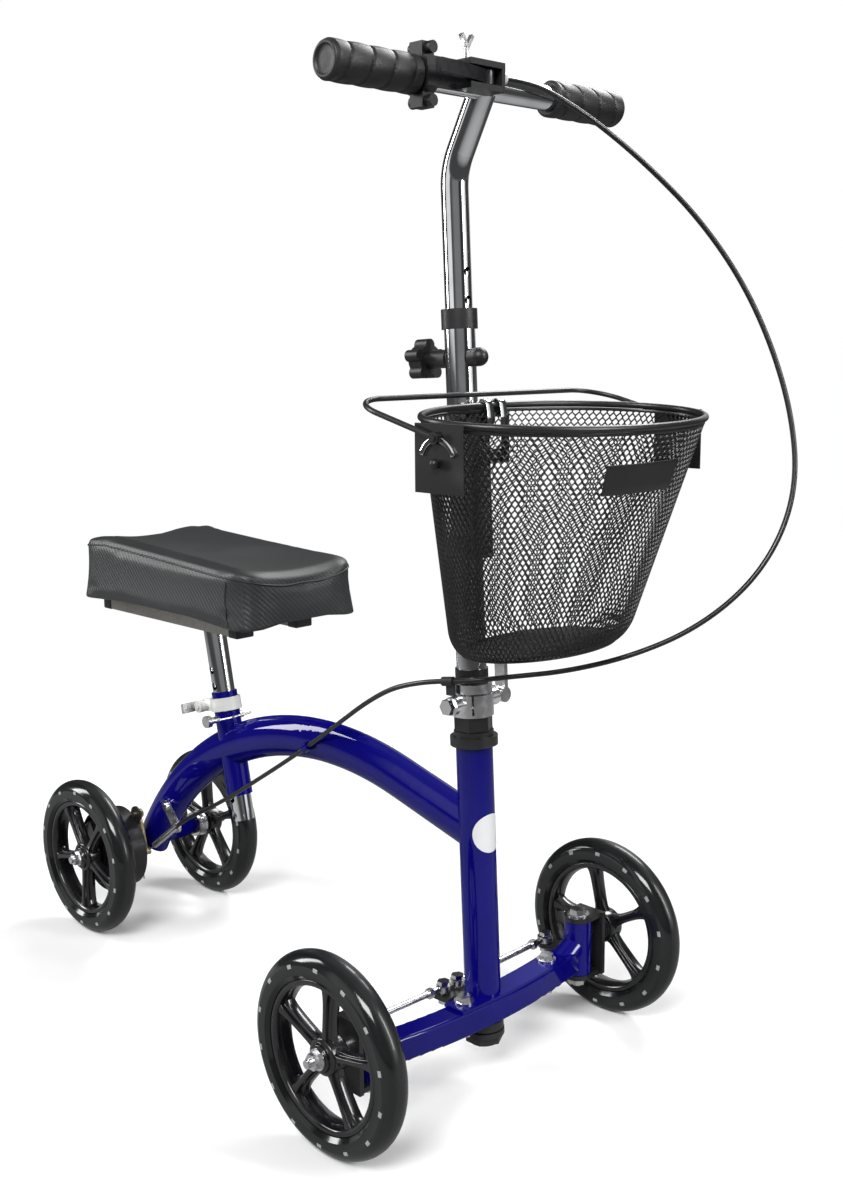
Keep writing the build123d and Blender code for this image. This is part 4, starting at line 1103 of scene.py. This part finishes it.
def label_film():
    film = Finish("label_film", (0.72, 0.73, 0.74), 0.35, Coat_Weight=0.3)
    dust = film.noise(80, 4).between(0.5, 0.85)
    film.set("Base Color", film.blend(dust * 0.3, (0.74, 0.75, 0.76), (0.60, 0.61, 0.62)))
    film.raise_surface(film.noise(500, 2), 0.00003, 0.3)
    return film.material


badge()


# ---- floor and light ------------------------------------------------------
def pale_floor():
    """A pale floor that turns to plain white well away from the object; to reflections and bounced light
    it is dark grey, a painted shade on the object's undersides.
    """
    pale = Finish("pale_floor", (0.88, 0.88, 0.88), 0.8, Specular_IOR_Level=0.1)
    x, y, _ = pale.axes()
    far = (x * x + y * y).power(0.5).between(0.7, 2.6)
    direct = Value(pale, pale.node("ShaderNodeLightPath").outputs["Is Camera Ray"])
    # painted shade: dark grey (0.30) to every ray but the camera's, so the object's undersides reflect a
    # dark floor
    pale.set("Base Color", pale.blend(direct, (0.30, 0.30, 0.30), (0.90, 0.90, 0.90)))
    # far glow: white to the camera, dim (0.06) to reflections and bounced light, more painted shade
    glow = pale.node("ShaderNodeEmission", {}, (1, 1, 1, 1), direct * 0.94 + 0.06)
    shown = pale.node("ShaderNodeMixShader", {}, far, pale.surface.outputs[0], glow.outputs[0])
    pale.feed(pale.tree.nodes["Material Output"].inputs[0], shown.outputs[0])
    return pale.material


def graded(tree, source, stops):
    """A grey scale along a number between 0 and 1."""
    ramp = tree.nodes.new("ShaderNodeValToRGB")
    tree.links.new(source, ramp.inputs[0])
    grades = ramp.color_ramp.elements
    grades[0].position, grades[1].position = stops[0][0], stops[-1][0]
    for position, level in stops[1:-1]:
        grades.new(position)
    for grade, (position, level) in zip(grades, stops):
        grade.color = (level, level, level, 1)
    return ramp.outputs[0]


def mixed(tree, factor, first, second):
    mix = tree.nodes.new("ShaderNodeMix")
    mix.data_type = "RGBA"
    tree.links.new(factor, mix.inputs[0])
    tree.links.new(first, mix.inputs[6])
    if isinstance(second, bpy.types.NodeSocket):
        tree.links.new(second, mix.inputs[7])
    else:
        mix.inputs[7].default_value = second
    return mix.outputs[2]


def calculated(tree, operation, *terms):
    step = tree.nodes.new("ShaderNodeMath")
    step.operation = operation
    for socket, term in zip(step.inputs, terms):
        if isinstance(term, bpy.types.NodeSocket):
            tree.links.new(term, socket)
        else:
            socket.default_value = term
    return step.outputs[0]


def room():
    """Plain white to the eye; dark with tall pale panels to reflections."""
    world = bpy.data.worlds.new("studio")
    bpy.context.scene.world = world
    world.use_nodes = True
    tree = world.node_tree
    split = tree.nodes.new("ShaderNodeSeparateXYZ")
    tree.links.new(tree.nodes.new("ShaderNodeTexCoord").outputs["Generated"], split.inputs[0])
    bearing = calculated(tree, "ARCTAN2", split.outputs[1], split.outputs[0])
    share = calculated(tree, "ADD", calculated(tree, "DIVIDE", bearing, tau), 0.5)
    panels = graded(tree, share, [
        (0.0, 0.05), (0.139, 0.05), (0.161, 0.85), (0.244, 0.85), (0.267, 0.04), (0.333, 0.20),
        (0.439, 0.20), (0.472, 0.03), (0.511, 0.03), (0.533, 0.95), (0.611, 0.95), (0.633, 0.05),
        (0.764, 0.05), (0.786, 0.75), (0.856, 0.75), (0.878, 0.04), (1.0, 0.05),
    ])
    height = split.outputs["Z"]
    ceiling = graded(tree, height, [(0.0, 0.10), (0.10, 0.05), (0.6, 0.08), (0.9, 0.30)])
    walls = graded(tree, height, [(0.0, 0.0), (0.03, 1.0), (0.60, 1.0), (0.75, 0.0)])
    surroundings = mixed(tree, walls, ceiling, panels)
    seen = tree.nodes.new("ShaderNodeLightPath").outputs["Is Camera Ray"]
    tree.links.new(mixed(tree, seen, surroundings, (1, 1, 1, 1)), tree.nodes["Background"].inputs[0])


def studio():
    bpy.ops.mesh.primitive_plane_add(size=60, location=(0, 0, -0.0002))
    floor = bpy.context.object
    floor.name = "studio_floor"
    floor.data.materials.append(pale_floor())
    middle, upper = (0, 0, 0.4), (0, 0, 0.5)
    softbox("key_light", (1.6, -2.6, 2.9), middle, (1.7, 1.2), 130)
    softbox("left_light", (-2.6, -1.6, 1.7), middle, (0.6, 2.2), 60)
    softbox("front_light", (2.9, 1.0, 1.8), upper, (0.45, 2.2), 60)
    softbox("back_light", (-0.4, 2.6, 3.0), middle, (2.0, 0.8), 80)
    room()
    bpy.context.scene.view_settings.view_transform = "Standard"


studio()
